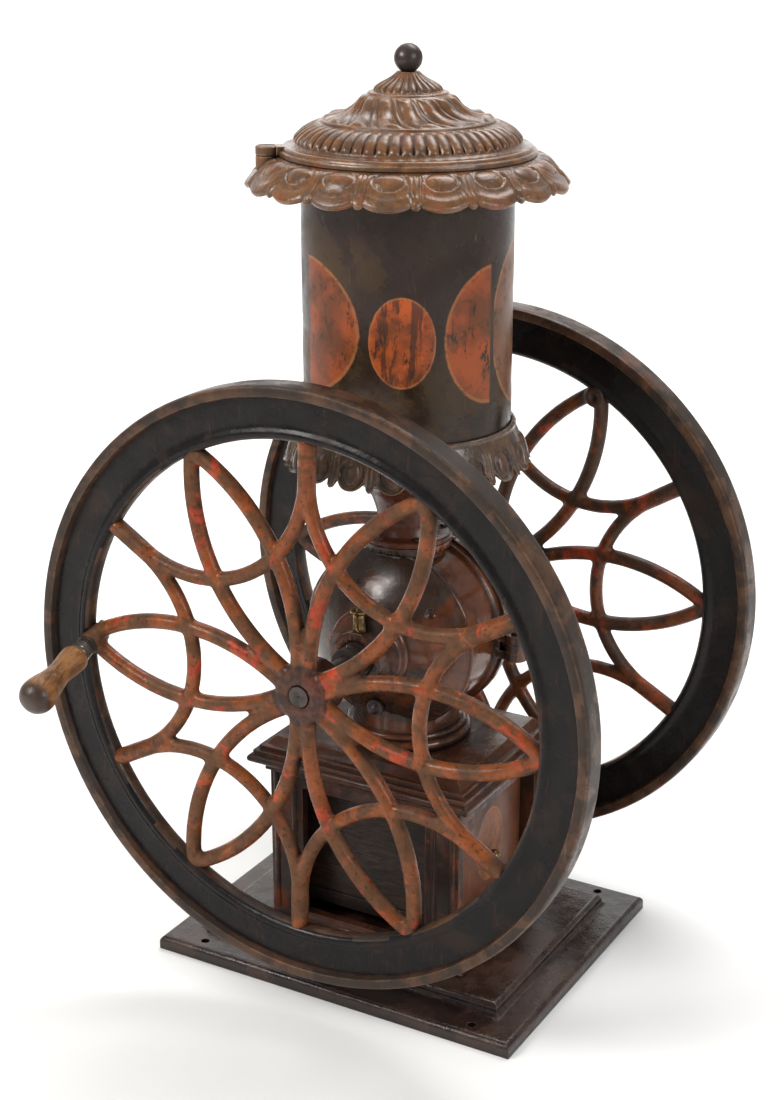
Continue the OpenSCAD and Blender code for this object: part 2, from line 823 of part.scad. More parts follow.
module fixed_burr() {
    color([0.38, 0.35, 0.33]) along_back() translate([0, 0, fixed_burr_y]) difference() {
        burr_disc(burr_eye_r);
        ring_of(3, 30) translate([burr_screw_r, 0, -over])
            cylinder(r = burr_bolt_r + bolt_fit, h = burr_t + 2 * over);
        ring_of(3, 30) translate([burr_screw_r, 0, burr_t - 4]) cylinder(r = 5, h = 5);
    }
}

module fixed_burr_screws() {
    color([0.45, 0.42, 0.4]) along_back() ring_of(3, 30) translate([burr_screw_r, 0, fixed_burr_y]) {
        translate([0, 0, 0.5 - web_t]) cylinder(r = burr_bolt_r, h = web_t + burr_t - 4);
        translate([0, 0, burr_t - 4]) cylinder(r = 4.6, h = 2);
    }
}

module turning_burr() {
    bore = shaft_r + run_fit;
    color([0.4, 0.37, 0.35]) along_back() translate([0, 0, turning_burr_y + burr_t]) difference() {
        union() {
            mirror([0, 0, 1]) burr_disc(bore);
            ring(burr_hub_r, bore, burr_hub);
        }
        translate([0, 0, burr_hub / 2]) rotate([0, 90, 0])
            cylinder(r = drive_pin_r + bolt_fit, h = 60, center = true);
    }
}

module burr_drive_pin() {
    color([0.5, 0.47, 0.44]) along_back() translate([0, 0, drive_pin_y]) rotate([0, 90, 0])
        cylinder(r = drive_pin_r, h = 2 * burr_hub_r + 2, center = true);
}

// An arc of round bar about Z, between two directions
module arc_bar(radius, tube, from, to) {
    rotate([0, 0, from])
        rotate_extrude(angle = to - from) translate([radius, 0]) circle(r = tube);
}

// Two curved bars from the hub that meet at the rim
module petal() {
    tip = rim_open_r + 2;
    half = (tip - petal_root) / 2;
    radius = (half * half + petal_half * petal_half) / (2 * petal_half);
    swing = asin(half / radius);
    for (s = [-1, 1]) translate([petal_root + half, s * (petal_half - radius), 0])
        arc_bar(radius, petal_bar, s * 90 - swing, s * 90 + swing);
}

// An arc round a petal's tip, which nearly touches its neighbours
module scallop() {
    sweep = 90 - petal_step / 2 - 2;
    translate([rim_open_r, 0, 0])
        arc_bar(scallop_r - 1, scallop_bar, 180 - sweep, 180 + sweep);
}

// The short bar that carries two scallops to the rim
module scallop_stub() {
    rotate([0, 0, petal_step / 2]) translate([stub_r - 12, 0, 0]) rotate([0, 90, 0])
        cylinder(r = scallop_bar + 2.5, h = rim_open_r - stub_r + 16);
}

// One side of the rim in section, from the bead at the opening to the tread
function rim_side(s) = [
    [rim_open_r, s * 4], [rim_open_r + 1, s * 7.5], [rim_open_r + 3.5, s * 9.6],
    [rim_open_r + 6, s * bead_half], [rim_open_r + 9, s * 9.5], [rim_open_r + 12, s * web_half],
    [wheel_r - lip_w, s * web_half], [wheel_r - lip_w, s * (rim_w / 2 - 2)],
    [wheel_r - lip_w + 2, s * rim_w / 2], [wheel_r - 3, s * rim_w / 2],
    [wheel_r - 0.6, s * (rim_w / 2 - 2.5)], [wheel_r, s * (rim_w / 2 - 6)]
];

module rim_section() {
    near = rim_side(-1);
    polygon(concat(near, [for (i = [len(near) - 1 : -1 : 0]) rim_side(1)[i]]));
}

// A wheel in its own plane, with its hub's end towards +Z
module wheel(boss_turn, boss_sag) {
    difference() {
        union() {
            rotate_extrude() rim_section();
            ring_of(petals) {
                petal();
                scallop();
                scallop_stub();
            }
            translate([0, 0, hub_front - hub_len]) cylinder(r = hub_r, h = hub_len);
            at_tip(boss_turn, boss_sag) translate([0, 0, boss_back])
                cylinder(r = grip_boss_r, h = boss_front - boss_back);
        }
        translate([0, 0, -hub_len]) cylinder(r = shaft_r + run_fit, h = 2 * hub_len);
        at_tip(boss_turn, boss_sag) translate([0, 0, boss_back - over])
            cylinder(r = spindle_d / 2 + bolt_fit, h = boss_front - boss_back + 2 * over);
        set_screw_place() cylinder(r = set_screw_r + bolt_fit, h = hub_r);
    }
}

module at_tip(turn, sag) {
    rotate([0, 0, turn]) translate([grip_mount_r, 0, 0]) rotate([0, 0, -turn]) rotate([sag, 0, 0])
        children();
}

module set_screw_place() {
    translate([0, 0, hub_front - 0.75 * hub_len]) rotate([0, 90, petal_step / 2])
        translate([0, 0, shaft_r + bolt_fit]) children();
}

module at_crank_wheel() {
    along_shaft() translate([0, 0, crank_wheel_y]) children();
}

module at_plain_wheel() {
    along_back() translate([0, 0, plain_wheel_y]) children();
}

module crank_wheel() {
    color([0.5, 0.2, 0.11]) at_crank_wheel() rotate([0, 0, crank_turn])
        wheel(180, grip_sag);
}

module plain_wheel() {
    color([0.36, 0.16, 0.1]) at_plain_wheel() rotate([0, 0, plain_turn])
        wheel(petal_step, 0);
}

module set_screw() {
    set_screw_place() {
        cylinder(r = set_screw_r, h = hub_r - shaft_r);
        translate([-4, -4, hub_r - shaft_r]) cube([8, 8, 7]);
    }
}

module hub_set_screws() {
    color([0.28, 0.24, 0.22]) {
        at_crank_wheel() rotate([0, 0, crank_turn]) set_screw();
        at_plain_wheel() rotate([0, 0, plain_turn]) set_screw();
    }
}

module at_grip() {
    at_crank_wheel() rotate([0, 0, crank_turn]) at_tip(180, grip_sag) children();
}

module grip_spindle() {
    tail = spindle_nut_t + 2.5;
    color([0.35, 0.32, 0.3]) at_grip() translate([0, 0, boss_back - tail])
        cylinder(d = spindle_d, h = grip_start + grip_bore - boss_back + tail - 2);
}

module spindle_nut() {
    color([0.3, 0.27, 0.25]) at_grip() translate([0, 0, boss_back - spindle_nut_t]) difference() {
        cylinder(r = 8.5, h = spindle_nut_t, $fn = 6);
        translate([0, 0, -over]) cylinder(r = spindle_d / 2 + bolt_fit, h = 2 * spindle_nut_t);
    }
}

module spindle_washers() {
    bore = spindle_d / 2 + bolt_fit;
    color([0.3, 0.27, 0.26]) at_grip() translate([0, 0, boss_front]) {
        ring(11, bore, washer_t);
        translate([0, 0, washer_t]) ring(9.5, bore, washer_t);
    }
}

module grip_ferrule() {
    color([0.4, 0.4, 0.38]) at_grip() translate([0, 0, ferrule_start])
        difference() {
            union() {
                cylinder(r1 = ferrule_r - 1, r2 = ferrule_r, h = ferrule_len / 2);
                translate([0, 0, ferrule_len / 2]) cylinder(r = ferrule_r, h = ferrule_len / 2);
            }
            translate([0, 0, -over]) cylinder(r = spindle_d / 2 + run_fit, h = 2 * ferrule_len);
        }
}

// Radius of the turned grip at a share of its length: collar, waist, bulb and round end
function ease(t) = (1 - cos(180 * t)) / 2;
function grip_profile(t) =
    t < 0.12 ? ferrule_r + (grip_neck_r - ferrule_r) * ease(t / 0.12) :
    t < 0.36 ? grip_neck_r + (grip_waist_r - grip_neck_r) * ease((t - 0.12) / 0.24) :
    t < 0.76 ? grip_waist_r + (grip_r - grip_waist_r) * ease((t - 0.36) / 0.4) :
    grip_r * sqrt(max(0, 1 - pow((t - 0.76) / 0.24, 2.4)));

module crank_grip() {
    steps = 36;
    color([0.6, 0.4, 0.18]) at_grip() translate([0, 0, grip_start]) difference() {
        rotate_extrude() polygon(concat(
            [[0, 0]],
            [for (i = [0 : steps - 1]) [grip_profile(i / steps), grip_len * i / steps]],
            [[0, grip_len]]
        ));
        translate([0, 0, -over]) cylinder(r = spindle_d / 2 + run_fit, h = grip_bore + over);
    }
}

module throat() {
    sweep = [neck_r + neck_sweep, neck_z];
    low_turn = 180 + asin((neck_z - throat_seat_z - rim_t) / neck_sweep);
    color([0.3, 0.17, 0.12]) difference() {
        rotate_extrude() difference() {
            polygon(concat(
                [[0, throat_seat_z], [throat_seat_r, throat_seat_z]],
                [[throat_seat_r, throat_seat_z + rim_t]],
                arc_points(sweep, neck_sweep, low_turn, 132, 8),
                [[seat_r - 8, shell_bottom - 12], [seat_r, shell_bottom - rim_t]],
                [[seat_r, shell_bottom], [0, shell_bottom]]
            ));
            polygon(concat(
                [[0, throat_seat_z - over], [throat_bore_r, throat_seat_z - over]],
                arc_points([sweep[0] - rim_t / 2, sweep[1] + 4], neck_sweep + 3, 184, 138, 6),
                [[seat_r - 16, shell_bottom - 9], [shell_inner - 4, shell_bottom - rim_t]],
                [[shell_inner - 4, shell_bottom + over], [0, shell_bottom + over]]
            ));
        }
        ring_of(4, 45) translate([throat_bolt_r, 0, throat_seat_z - over])
            cylinder(r = throat_screw_r + bolt_fit, h = rim_t + 2 * over);
    }
}

module throat_bolts() {
    color([0.3, 0.26, 0.24]) ring_of(4, 45) translate([throat_bolt_r, 0, throat_seat_z]) {
        translate([0, 0, -5]) cylinder(r = throat_screw_r, h = 5 + rim_t + over);
        translate([0, 0, rim_t]) cylinder(r = 3.6, h = 3, $fn = 6);
    }
}

// Wall of the collar's skirt in section, grown inwards by a depth
module skirt_section(depth) {
    polygon(concat(
        [[shell_r + slip, collar_top], [shell_r + slip + 2.2, collar_top]],
        [[seat_r + 1, collar_top - 2.5], [seat_r + 1, collar_top - 5]],
        [[skirt_r - 14, collar_top - 10], [skirt_r - 10, collar_top - 19]],
        [[skirt_r - 7, collar_top - 30], [skirt_r - 4, collar_top - 37]],
        [[skirt_r, skirt_z], [skirt_r - depth * 0.8, skirt_z - depth * 0.5]],
        [[skirt_r - 4 - depth, collar_top - 39], [skirt_r - 7 - depth, collar_top - 31]],
        [[seat_r + 9 - depth, shell_bottom - over]],
        [[seat_r + slip, shell_bottom - over], [seat_r + slip, shell_bottom + slip / 3]],
        [[shell_r + slip, shell_bottom + slip / 3]]
    ));
}

// Places children on the middle of each hanging lobe, +Z standing out of it
module at_skirt_eggs() {
    ring_of(collar_lobes, crown_turn) translate([skirt_r - 7.5, 0, collar_top - 28])
        rotate([0, 70, 0]) children();
}

// Round bars that stand out from the axis, to cut the skirt's lower edge
module spokes(start, height, radius) {
    ring_of(collar_lobes, crown_turn + start) translate([skirt_r / 2, 0, height])
        rotate([0, 90, 0]) cylinder(r = radius, h = skirt_r);
}

module lower_collar() {
    lobe_step = 360 / collar_lobes;
    lobe_z = skirt_z + lobe_r;
    color([0.45, 0.24, 0.14]) difference() {
        union() {
            intersection() {
                rotate_extrude() skirt_section(5);
                union() {
                    translate([0, 0, lobe_z]) cylinder(r = 2 * skirt_r, h = collar_top);
                    spokes(0, lobe_z, lobe_r);
                    // The tongue between two lobes
                    spokes(lobe_step / 2, skirt_z + 4.5, 4);
                    spokes(lobe_step / 2, skirt_z + 14, 8.5);
                }
            }
            // A raised egg on each lobe
            intersection() {
                at_skirt_eggs() translate([0, 0, egg_rise - skirt_egg_tube_r - skirt_egg_ring_r])
                    rotate([90, 0, 0]) rotate_extrude()
                        translate([skirt_egg_ring_r, 0]) circle(r = skirt_egg_tube_r);
                rotate_extrude() translate([4.5, 2]) skirt_section(7);
            }
        }
        at_skirt_eggs() rotate_extrude() translate([skirt_groove_r, 0]) circle(r = flute_r);
        shell_screw_places(collar_screw_z) cylinder(r = shell_screw_r + bolt_fit, h = 30);
    }
}

module shell_screw_places(height) {
    ring_of(4, 20) translate([shell_inner - 4, 0, height]) rotate([0, 90, 0]) children();
}

module hopper_shell() {
    color([0.3, 0.22, 0.14]) difference() {
        translate([0, 0, shell_bottom]) ring(shell_r, shell_inner, crown_top - crown_t - shell_bottom);
        for (z = [collar_screw_z, crown_screw_z]) shell_screw_places(z)
            cylinder(r = shell_screw_r + bolt_fit, h = 30);
    }
}

module shell_screws() {
    color([0.5, 0.4, 0.3]) for (z = [collar_screw_z, crown_screw_z]) shell_screw_places(z) {
        translate([0, 0, 4 - 2.2]) cylinder(r = 3, h = 2);
        translate([0, 0, 3]) cylinder(r = shell_screw_r, h = 6);
    }
}

// The crown in section: rim flange, collar round the shell and drooping apron
module crown_section() {
    under = crown_top - crown_t;
    polygon([
        [shell_inner - 5, under], [shell_inner - 5, crown_top], [lid_r, crown_top],
        [lid_r + 11, crown_top - 4.5], [crown_r - 14.5, crown_top - 11],
        [crown_r - 8, crown_top - 18.5], [crown_r - 2.5, crown_top - 24.5],
        [crown_r, crown_top - 27], [crown_r - 1.5, crown_top - 29.5],
        [crown_r - 5.5, crown_top - 27], [crown_r - 11, crown_top - 21.5],
        [crown_r - 17.5, crown_top - 14.5], [lid_r + 9, crown_top - 9.5],
        [lid_r - 4, under - 1.5], [shell_r + 5, under - 1.5],
        [shell_r + 5, under - 25], [shell_r + slip, under - 25], [shell_r + slip, under]
    ]);
}

// Places children on the middle of each lobe, +Z standing out of it
module at_eggs() {
    ring_of(crown_lobes, crown_turn) translate([crown_r - egg_inset, 0, crown_top - egg_drop])
        rotate([0, 45, 0]) children();
}

// The band of the crown in which the eggs stand up
module egg_section() {
    polygon([
        [lid_r + 5, crown_top - 8], [lid_r + 5, crown_top + 1], [lid_r + 14, crown_top - 2],
        [crown_r - 12, crown_top - 8], [crown_r - 5, crown_top - 16], [crown_r, crown_top - 22],
        [crown_r - 5, crown_top - 25], [crown_r - 11, crown_top - 20], [crown_r - 17.5, crown_top - 13]
    ]);
}

module crown() {
    lobe_step = 360 / crown_lobes;
    lobe_c = crown_r - crown_lobe_r;
    color([0.45, 0.25, 0.14]) difference() {
        union() {
            intersection() {
                rotate_extrude() crown_section();
                translate([0, 0, crown_cut_z]) union() {
                    cylinder(r = lid_r, h = crown_cut_h);
                    ring_of(crown_lobes, crown_turn) translate([lobe_c, 0, 0])
                        cylinder(r = crown_lobe_r, h = crown_cut_h);
                }
            }
            // A raised egg on each lobe
            intersection() {
                at_eggs() translate([0, 0, egg_rise - egg_tube_r - egg_ring_r]) rotate([0, 90, 0])
                    rotate_extrude() translate([egg_ring_r, 0]) circle(r = egg_tube_r);
                rotate_extrude() egg_section();
            }
            // Tongues between the lobes
            intersection() {
                rotate_extrude() crown_section();
                translate([0, 0, crown_cut_z]) ring_of(crown_lobes, crown_turn + lobe_step / 2)
                    translate([crown_r - 9, 0, 0]) cylinder(r = 5, h = crown_cut_h);
            }
            at_pivot() translate([0, 0, crown_top - 14]) cylinder(r = pivot_boss_r, h = 14);
        }
        // The furrow round each egg
        at_eggs() translate([0, 0, -0.3]) rotate_extrude() translate([egg_groove_r, 0])
            circle(r = flute_r);
        at_pivot() translate([0, 0, crown_top - 12]) cylinder(r = pivot_screw_r + bolt_fit, h = 14);
        shell_screw_places(crown_screw_z) cylinder(r = shell_screw_r + bolt_fit, h = 30);
    }
}

module at_pivot() {
    rotate([0, 0, pivot_turn]) translate([pivot_r, 0, 0]) children();
}

module lid_pivot_screw() {
    color([0.3, 0.24, 0.2]) at_pivot() {
        translate([0, 0, crown_top - pivot_thread])
            cylinder(r = pivot_screw_r, h = pivot_thread + lid_ear_t - pivot_sink + 1);
        translate([0, 0, lid_z + lid_ear_t - pivot_sink + move_gap])
            cylinder(r = pivot_head_r, h = pivot_sink - 2 * move_gap);
    }
}

// The lid's outline: flange, band, dome from its ring inwards, and bell from its ring inwards
function lid_outline() = [
    [lid_r, 0], [lid_r, 5], [lid_r - 2, 7.6], [lid_r - 5, 8.5], [lid_r - 12, 9], [lid_r - 14, 11],
    [lid_r - 15.5, 13.5], [lid_r - 18, 17.5], [lid_r - 22, 22], [dome_ring_r + 12, 25.6],
    [dome_ring_r + 6, 28.2], [dome_ring_r, 30.4], [dome_ring_r, 32.2], [dome_ring_r - 2, 33.4],
    [dome_ring_r - 6, 34], [dome_ring_r - 14, 34.8], [dome_ring_r - 20.5, 36.5],
    [dome_ring_r - 26.5, 39.5], [dome_ring_r - 32, 43.6], [bell_ring_r + 8.5, 49],
    [bell_ring_r + 4, 53.5], [bell_ring_r, 56], [bell_ring_r, 57.4], [bell_ring_r - 2, 58.4],
    [bell_ring_r - 6, 58.8], [bell_ring_r - 7.2, 61], [bell_ring_r - 10, 63.6],
    [bell_ring_r - 14.5, 66.4], [bell_ring_r - 20, 69.4], [bell_ring_r - 24.5, 72.6],
    [bell_ring_r - 27, lid_h]
];

function lid_inside() = [
    [lid_r - 9, -over], [lid_r - 21, 9], [lid_r - 26.5, 18], [dome_ring_r + 8, 22.2],
    [dome_ring_r - 4, 27.5], [dome_ring_r - 14, 29.3], [dome_ring_r - 22, 31.2],
    [dome_ring_r - 29.5, 35], [bell_ring_r + 9, 40], [bell_ring_r + 3.5, 46.5],
    [bell_ring_r - 2, 51.5], [bell_ring_r - 11.5, 54.5], [bell_ring_r - 15, 58.5],
    [bell_ring_r - 20, 61.5], [bell_ring_r - 26, lid_h - lid_crown_t]
];

// A round bar bent along the circle through three points
module bent_bar(from, by, to, radius) {
    u = by - from;
    v = to - from;
    w = cross(u, v);
    centre = from + (cross(w, u) * (v * v) + cross(v, w) * (u * u)) / (2 * (w * w));
    bend_r = norm(from - centre);
    x = (from - centre) / bend_r;
    z = w / norm(w);
    y = cross(z, x);
    end = (to - centre) / bend_r;
    multmatrix([
        [x[0], y[0], z[0], centre[0]], [x[1], y[1], z[1], centre[1]], [x[2], y[2], z[2], centre[2]],
        [0, 0, 0, 1]
    ]) rotate_extrude(angle = atan2(end * y, end * x)) translate([bend_r, 0]) circle(r = radius);
}

// A point at a radius and height, turned about the lid's axis
function turned(radius, height, turn) = [radius * cos(turn), radius * sin(turn), height];

module lid() {
    color([0.46, 0.26, 0.15]) translate([0, 0, lid_z]) difference() {
        union() {
            rotate_extrude() polygon(concat([[0, 0]], lid_outline(), [[0, lid_h]]));
            at_pivot() cylinder(r = pivot_boss_r, h = lid_ear_t);
            rotate([0, 0, pivot_turn]) translate([lid_r - 12, -pivot_boss_r, 0])
                cube([pivot_r - lid_r + 12, 2 * pivot_boss_r, lid_ear_t]);
        }
        rotate_extrude()
            polygon(concat([[0, -over]], lid_inside(), [[0, lid_h - lid_crown_t]]));
        // Furrows between the ribs of the band
        ring_of(band_gadroons) bent_bar(turned(lid_r - 14, 12.6, 0),
            turned(dome_ring_r + 18.6, 22.6, 0), turned(dome_ring_r + 1.5, 30.8, 0), band_furrow_r);
        // Furrows between the swirls
        ring_of(swirls) bent_bar(turned(dome_ring_r - 4, 35.6, swirl_turn),
            turned(bell_ring_r + 19.6, 41.2, swirl_turn * 0.45), turned(bell_ring_r + 4, 56.5, 0),
            swirl_furrow_r);
        // Flutes of the bell
        ring_of(cone_flutes) bent_bar(turned(bell_ring_r - 5.6, 59.4, 0),
            turned(bell_ring_r - 15, 67, 0), turned(bell_ring_r - 25.5, 75.2, 0), flute_r);
        at_pivot() translate([0, 0, -over])
            cylinder(r = pivot_screw_r + run_fit, h = lid_ear_t + 2 * over);
        at_pivot() translate([0, 0, lid_ear_t - pivot_sink])
            cylinder(r = pivot_head_r + 1, h = pivot_sink + over);
        cylinder(r = finial_stud_r + bolt_fit, h = 2 * lid_h);
    }
}

module finial() {
    seat = 1;
    color([0.16, 0.11, 0.1]) translate([0, 0, lid_top]) {
        intersection() {
            translate([0, 0, ball_r - seat]) sphere(r = ball_r);
            cylinder(r = ball_r, h = 2 * ball_r);
        }
        translate([0, 0, -18]) cylinder(r = finial_stud_r, h = 20);
    }
}

module finial_nut() {
    height = 5;
    color([0.3, 0.26, 0.24]) translate([0, 0, lid_top - lid_crown_t - height]) difference() {
        cylinder(r = 8, h = height, $fn = 6);
        translate([0, 0, -over]) cylinder(r = finial_stud_r + bolt_fit, h = height + 2 * over);
    }
}

base_plate();
pedestal_frame();
tie_bolts();
cornice();
drawer_runners();
drawer_tray();
drawer_front();
drawer_knob();
case_body();
case_cover();
cover_hinge_pin();
cover_clamp_screw();
foot_bolts();
inspection_plug();
front_bush();
rear_bush();
regulator_nut();
front_oil_cup();
rear_oil_cup();
main_shaft();
shaft_collar();
feed_worm();
fixed_burr();
fixed_burr_screws();
turning_burr();
burr_drive_pin();
crank_wheel();
plain_wheel();
hub_set_screws();
grip_spindle();
spindle_nut();
spindle_washers();
grip_ferrule();
crank_grip();
throat();
throat_bolts();
lower_collar();
hopper_shell();
shell_screws();
crown();
lid_pivot_screw();
lid();
finial();
finial_nut();
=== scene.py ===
"""Dresses the counter coffee mill: casting skins, worn enamel, turned wood and the open tracery of its wheels."""

import json
import logging
import math
from dataclasses import dataclass, field
from enum import Enum
from functools import cached_property
from typing import Callable, Iterable, Sequence

import bmesh
import bpy
from mathutils import Matrix, Vector, noise

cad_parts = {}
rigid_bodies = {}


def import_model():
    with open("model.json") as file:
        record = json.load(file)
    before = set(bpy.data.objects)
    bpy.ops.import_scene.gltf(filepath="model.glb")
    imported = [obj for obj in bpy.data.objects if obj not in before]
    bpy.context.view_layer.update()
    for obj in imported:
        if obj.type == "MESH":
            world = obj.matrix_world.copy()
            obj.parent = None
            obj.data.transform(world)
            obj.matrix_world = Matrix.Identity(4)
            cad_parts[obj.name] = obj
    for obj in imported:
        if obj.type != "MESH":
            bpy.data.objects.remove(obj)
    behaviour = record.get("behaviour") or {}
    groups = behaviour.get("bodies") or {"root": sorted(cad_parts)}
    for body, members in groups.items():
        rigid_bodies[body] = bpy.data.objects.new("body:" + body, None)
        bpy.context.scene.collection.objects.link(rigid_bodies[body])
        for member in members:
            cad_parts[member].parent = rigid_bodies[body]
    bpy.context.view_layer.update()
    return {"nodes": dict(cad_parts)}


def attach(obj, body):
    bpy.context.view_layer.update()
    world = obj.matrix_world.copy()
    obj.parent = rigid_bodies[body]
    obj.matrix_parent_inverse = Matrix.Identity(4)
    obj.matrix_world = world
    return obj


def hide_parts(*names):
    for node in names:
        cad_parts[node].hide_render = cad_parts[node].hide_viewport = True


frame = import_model()
LOG = logging.getLogger("coffee_mill")

Tone = tuple[float, float, float]
Section = list[tuple[float, float]]
AXLE = 0.358
TAU = 2 * math.pi


class Slot(Enum):
    """Material slots of the record that the made pieces take."""

    BLACK = "black_paint"
    BOX = "box_paint"
    CORNICE = "cornice_paint"
    CASE = "case_paint"
    CRANK_WHEEL = "crank_wheel_paint"
    PLAIN_WHEEL = "plain_wheel_paint"
    COPPER = "copper_paint"
    THROAT = "throat_paint"
    SHEET = "olive_sheet"
    PANEL = "ochre_panel"
    TRAY = "tray_wood"
    STEEL = "bare_steel"
    IRON = "dark_iron"
    BRONZE = "bronze"
    BRASS = "oil_brass"
    GRIP = "grip_wood"
    FERRULE = "ferrule_metal"


class Body(Enum):
    """The moving bodies of the mill."""

    MILL = "mill"
    ROTOR = "rotor"
    GRIP = "grip"
    LID = "lid_swing"
    DRAWER = "drawer"


def tone(red: int, green: int, blue: int) -> Tone:
    """Turns a display colour of 0 to 255 into linear light.

    Args:
        red: Red of the display colour.
        green: Green of the display colour.
        blue: Blue of the display colour.

    Returns:
        The colour in linear light.
    """
    def one(value: int) -> float:
        """One channel in linear light."""
        share = value / 255
        return share / 12.92 if share <= 0.04045 else ((share + 0.055) / 1.055) ** 2.4

    return one(red), one(green), one(blue)


# Node helpers


class Tree:
    """A node tree with short calls for its nodes and links."""

    def __init__(self, tree: bpy.types.NodeTree) -> None:
        """Holds the tree and empties it."""
        self.tree = tree
        tree.nodes.clear()

    def add(self, kind: str, inputs: dict | None = None, **settings: object) -> bpy.types.Node:
        """Adds a node.

        Args:
            kind: The node's type name.
            inputs: Socket names or numbers, each with a value or a socket to link.
            settings: Properties of the node.

        Returns:
            The node.
        """
        node = self.tree.nodes.new(kind)
        for name, value in settings.items():
            setattr(node, name, value)
        for name, value in (inputs or {}).items():
            self.feed(node.inputs[name], value)
        return node

    def feed(self, socket: bpy.types.NodeSocket, value: object) -> None:
        """Links a socket to a socket, or sets its value.

        Args:
            socket: The input to feed.
            value: An output socket, or a value.
        """
        if isinstance(value, bpy.types.NodeSocket):
            self.tree.links.new(value, socket)
        elif socket.type == "RGBA" and len(value) == 3:
            socket.default_value = (*value, 1)
        else:
            socket.default_value = value

    def math(self, operation: str, *values: object, clamp: bool = False) -> bpy.types.NodeSocket:
        """Adds a Math node and returns its output."""
        return self.add("ShaderNodeMath", dict(enumerate(values)), operation=operation, use_clamp=clamp).outputs[0]

    def blend(self, factor: object, low: object, high: object) -> bpy.types.NodeSocket:
        """Adds a colour Mix node and returns its output."""
        node = self.add("ShaderNodeMix", data_type="RGBA")
        for socket, value in zip((node.inputs[0], node.inputs[6], node.inputs[7]), (factor, low, high)):
            self.feed(socket, value)
        return node.outputs[2]

    def between(self, value: object, low: float, high: float, start: float = 0, end: float = 1) -> bpy.types.NodeSocket:
        """Maps a value smoothly from one range to another and returns the output."""
        return self.add(
            "ShaderNodeMapRange",
            {0: value, 1: low, 2: high, 3: start, 4: end},
            interpolation_type="SMOOTHSTEP",
        ).outputs[0]

    def noise(self, place: object, scale: float, detail: float = 4, rough: float = 0.55, warp: float = 0) -> bpy.types.NodeSocket:
        """Adds a Noise Texture and returns its value."""
        return self.add(
            "ShaderNodeTexNoise",
            {"Vector": place, "Scale": scale, "Detail": detail, "Roughness": rough, "Distortion": warp},
        ).outputs[0]


class Group:
    """A shader node group that is built once and placed in many materials."""

    def __init__(self, name: str, inputs: dict[str, tuple[str, object]], outputs: dict[str, str],
                 build: Callable[[Tree, dict, dict], None]) -> None:
        """Builds the group.

        Args:
            name: The group's name.
            inputs: Names of its inputs, each with a socket type and a default.
            outputs: Names of its outputs, each with a socket type.
            build: Fills the tree, given it, its input sockets and its output sockets.
        """
        self.group = bpy.data.node_groups.new(name, "ShaderNodeTree")
        for label, (kind, default) in inputs.items():
            socket = self.group.interface.new_socket(label, in_out="INPUT", socket_type=kind)
            if default is not None:
                socket.default_value = default
        for label, kind in outputs.items():
            self.group.interface.new_socket(label, in_out="OUTPUT", socket_type=kind)
        tree = Tree(self.group)
        start, end = tree.add("NodeGroupInput"), tree.add("NodeGroupOutput")
        build(tree, {k: start.outputs[k] for k in inputs}, {k: end.inputs[k] for k in outputs})

    def place(self, tree: Tree, **inputs: object) -> bpy.types.bpy_prop_collection:
        """Places the group in a material.

        Args:
            tree: The material's tree.
            inputs: Input names, each with a value or a socket.

        Returns:
            The outputs of the placed group.
        """
        node = tree.add("ShaderNodeGroup", node_tree=self.group)
        for label, value in inputs.items():
            tree.feed(node.inputs[label], value)
        return node.outputs


FLOAT, VECTOR = "NodeSocketFloat", "NodeSocketVector"


def _edges(tree: Tree, start: dict, end: dict) -> None:
    """Bare edges: where a rounded normal leaves the face's own, broken up by noise."""
    round_off = tree.add("ShaderNodeBevel", {"Radius": start["Radius"]}, samples=4).outputs[0]
    flat = tree.add("ShaderNodeNewGeometry").outputs["Normal"]
    turn = tree.add("ShaderNodeVectorMath", {0: round_off, 1: flat}, operation="DOT_PRODUCT").outputs["Value"]
    edge = tree.between(turn, 0.995, 0.86)
    rub = tree.between(tree.noise(start["Place"], 60, 5, 0.65), 0.36, 0.62)
    tree.feed(end["Mask"], tree.math("MULTIPLY", edge, tree.math("MULTIPLY", rub, start["Amount"]), clamp=True))


def _painted_corner_shade(tree: Tree, start: dict, end: dict) -> None:
    """Painted shade in corners: a mask of the share of a near sky that is hidden."""
    open_sky = tree.add("ShaderNodeAmbientOcclusion", {"Distance": start["Reach"]}, samples=5).outputs["AO"]
    tree.feed(end["Mask"], tree.math("MULTIPLY", tree.between(open_sky, 0.95, 0.35), start["Amount"], clamp=True))


def _patches(tree: Tree, start: dict, end: dict) -> None:
    """Broad patches with ragged borders, and finer flecks."""
    broad = tree.noise(start["Place"], start["Scale"], 6, 0.62, 0.4)
    low = tree.math("SUBTRACT", 0.62, tree.math("MULTIPLY", start["Share"], 0.3))
    step = tree.math("DIVIDE", tree.math("SUBTRACT", broad, low), 0.07, clamp=True)
    tree.feed(end["Patch"], step)
    fine = tree.noise(start["Place"], tree.math("MULTIPLY", start["Scale"], 7), 6, 0.7)
    tree.feed(end["Fleck"], tree.between(fine, 0.54, 0.66))
    tree.feed(end["Cloud"], tree.noise(start["Place"], tree.math("MULTIPLY", start["Scale"], 2.3), 3, 0.5))


def _cast_skin(tree: Tree, start: dict, end: dict) -> None:
    """Height of old sand-cast iron under paint: waves, grains and pits."""
    waves = tree.noise(start["Place"], 45, 3, 0.5)
    grains = tree.noise(start["Place"], 420, 4, 0.6)
    cells = tree.add("ShaderNodeTexVoronoi", {"Vector": start["Place"], "Scale": 170.0}, feature="F1").outputs["Distance"]
    pits = tree.between(cells, 0.0, 0.22)
    rows = tree.math("ADD", tree.math("MULTIPLY", waves, 1.6), tree.math("MULTIPLY", grains, start["Grain"]))
    tree.feed(end["Height"], tree.math("ADD", rows, tree.math("MULTIPLY", pits, start["Pits"])))


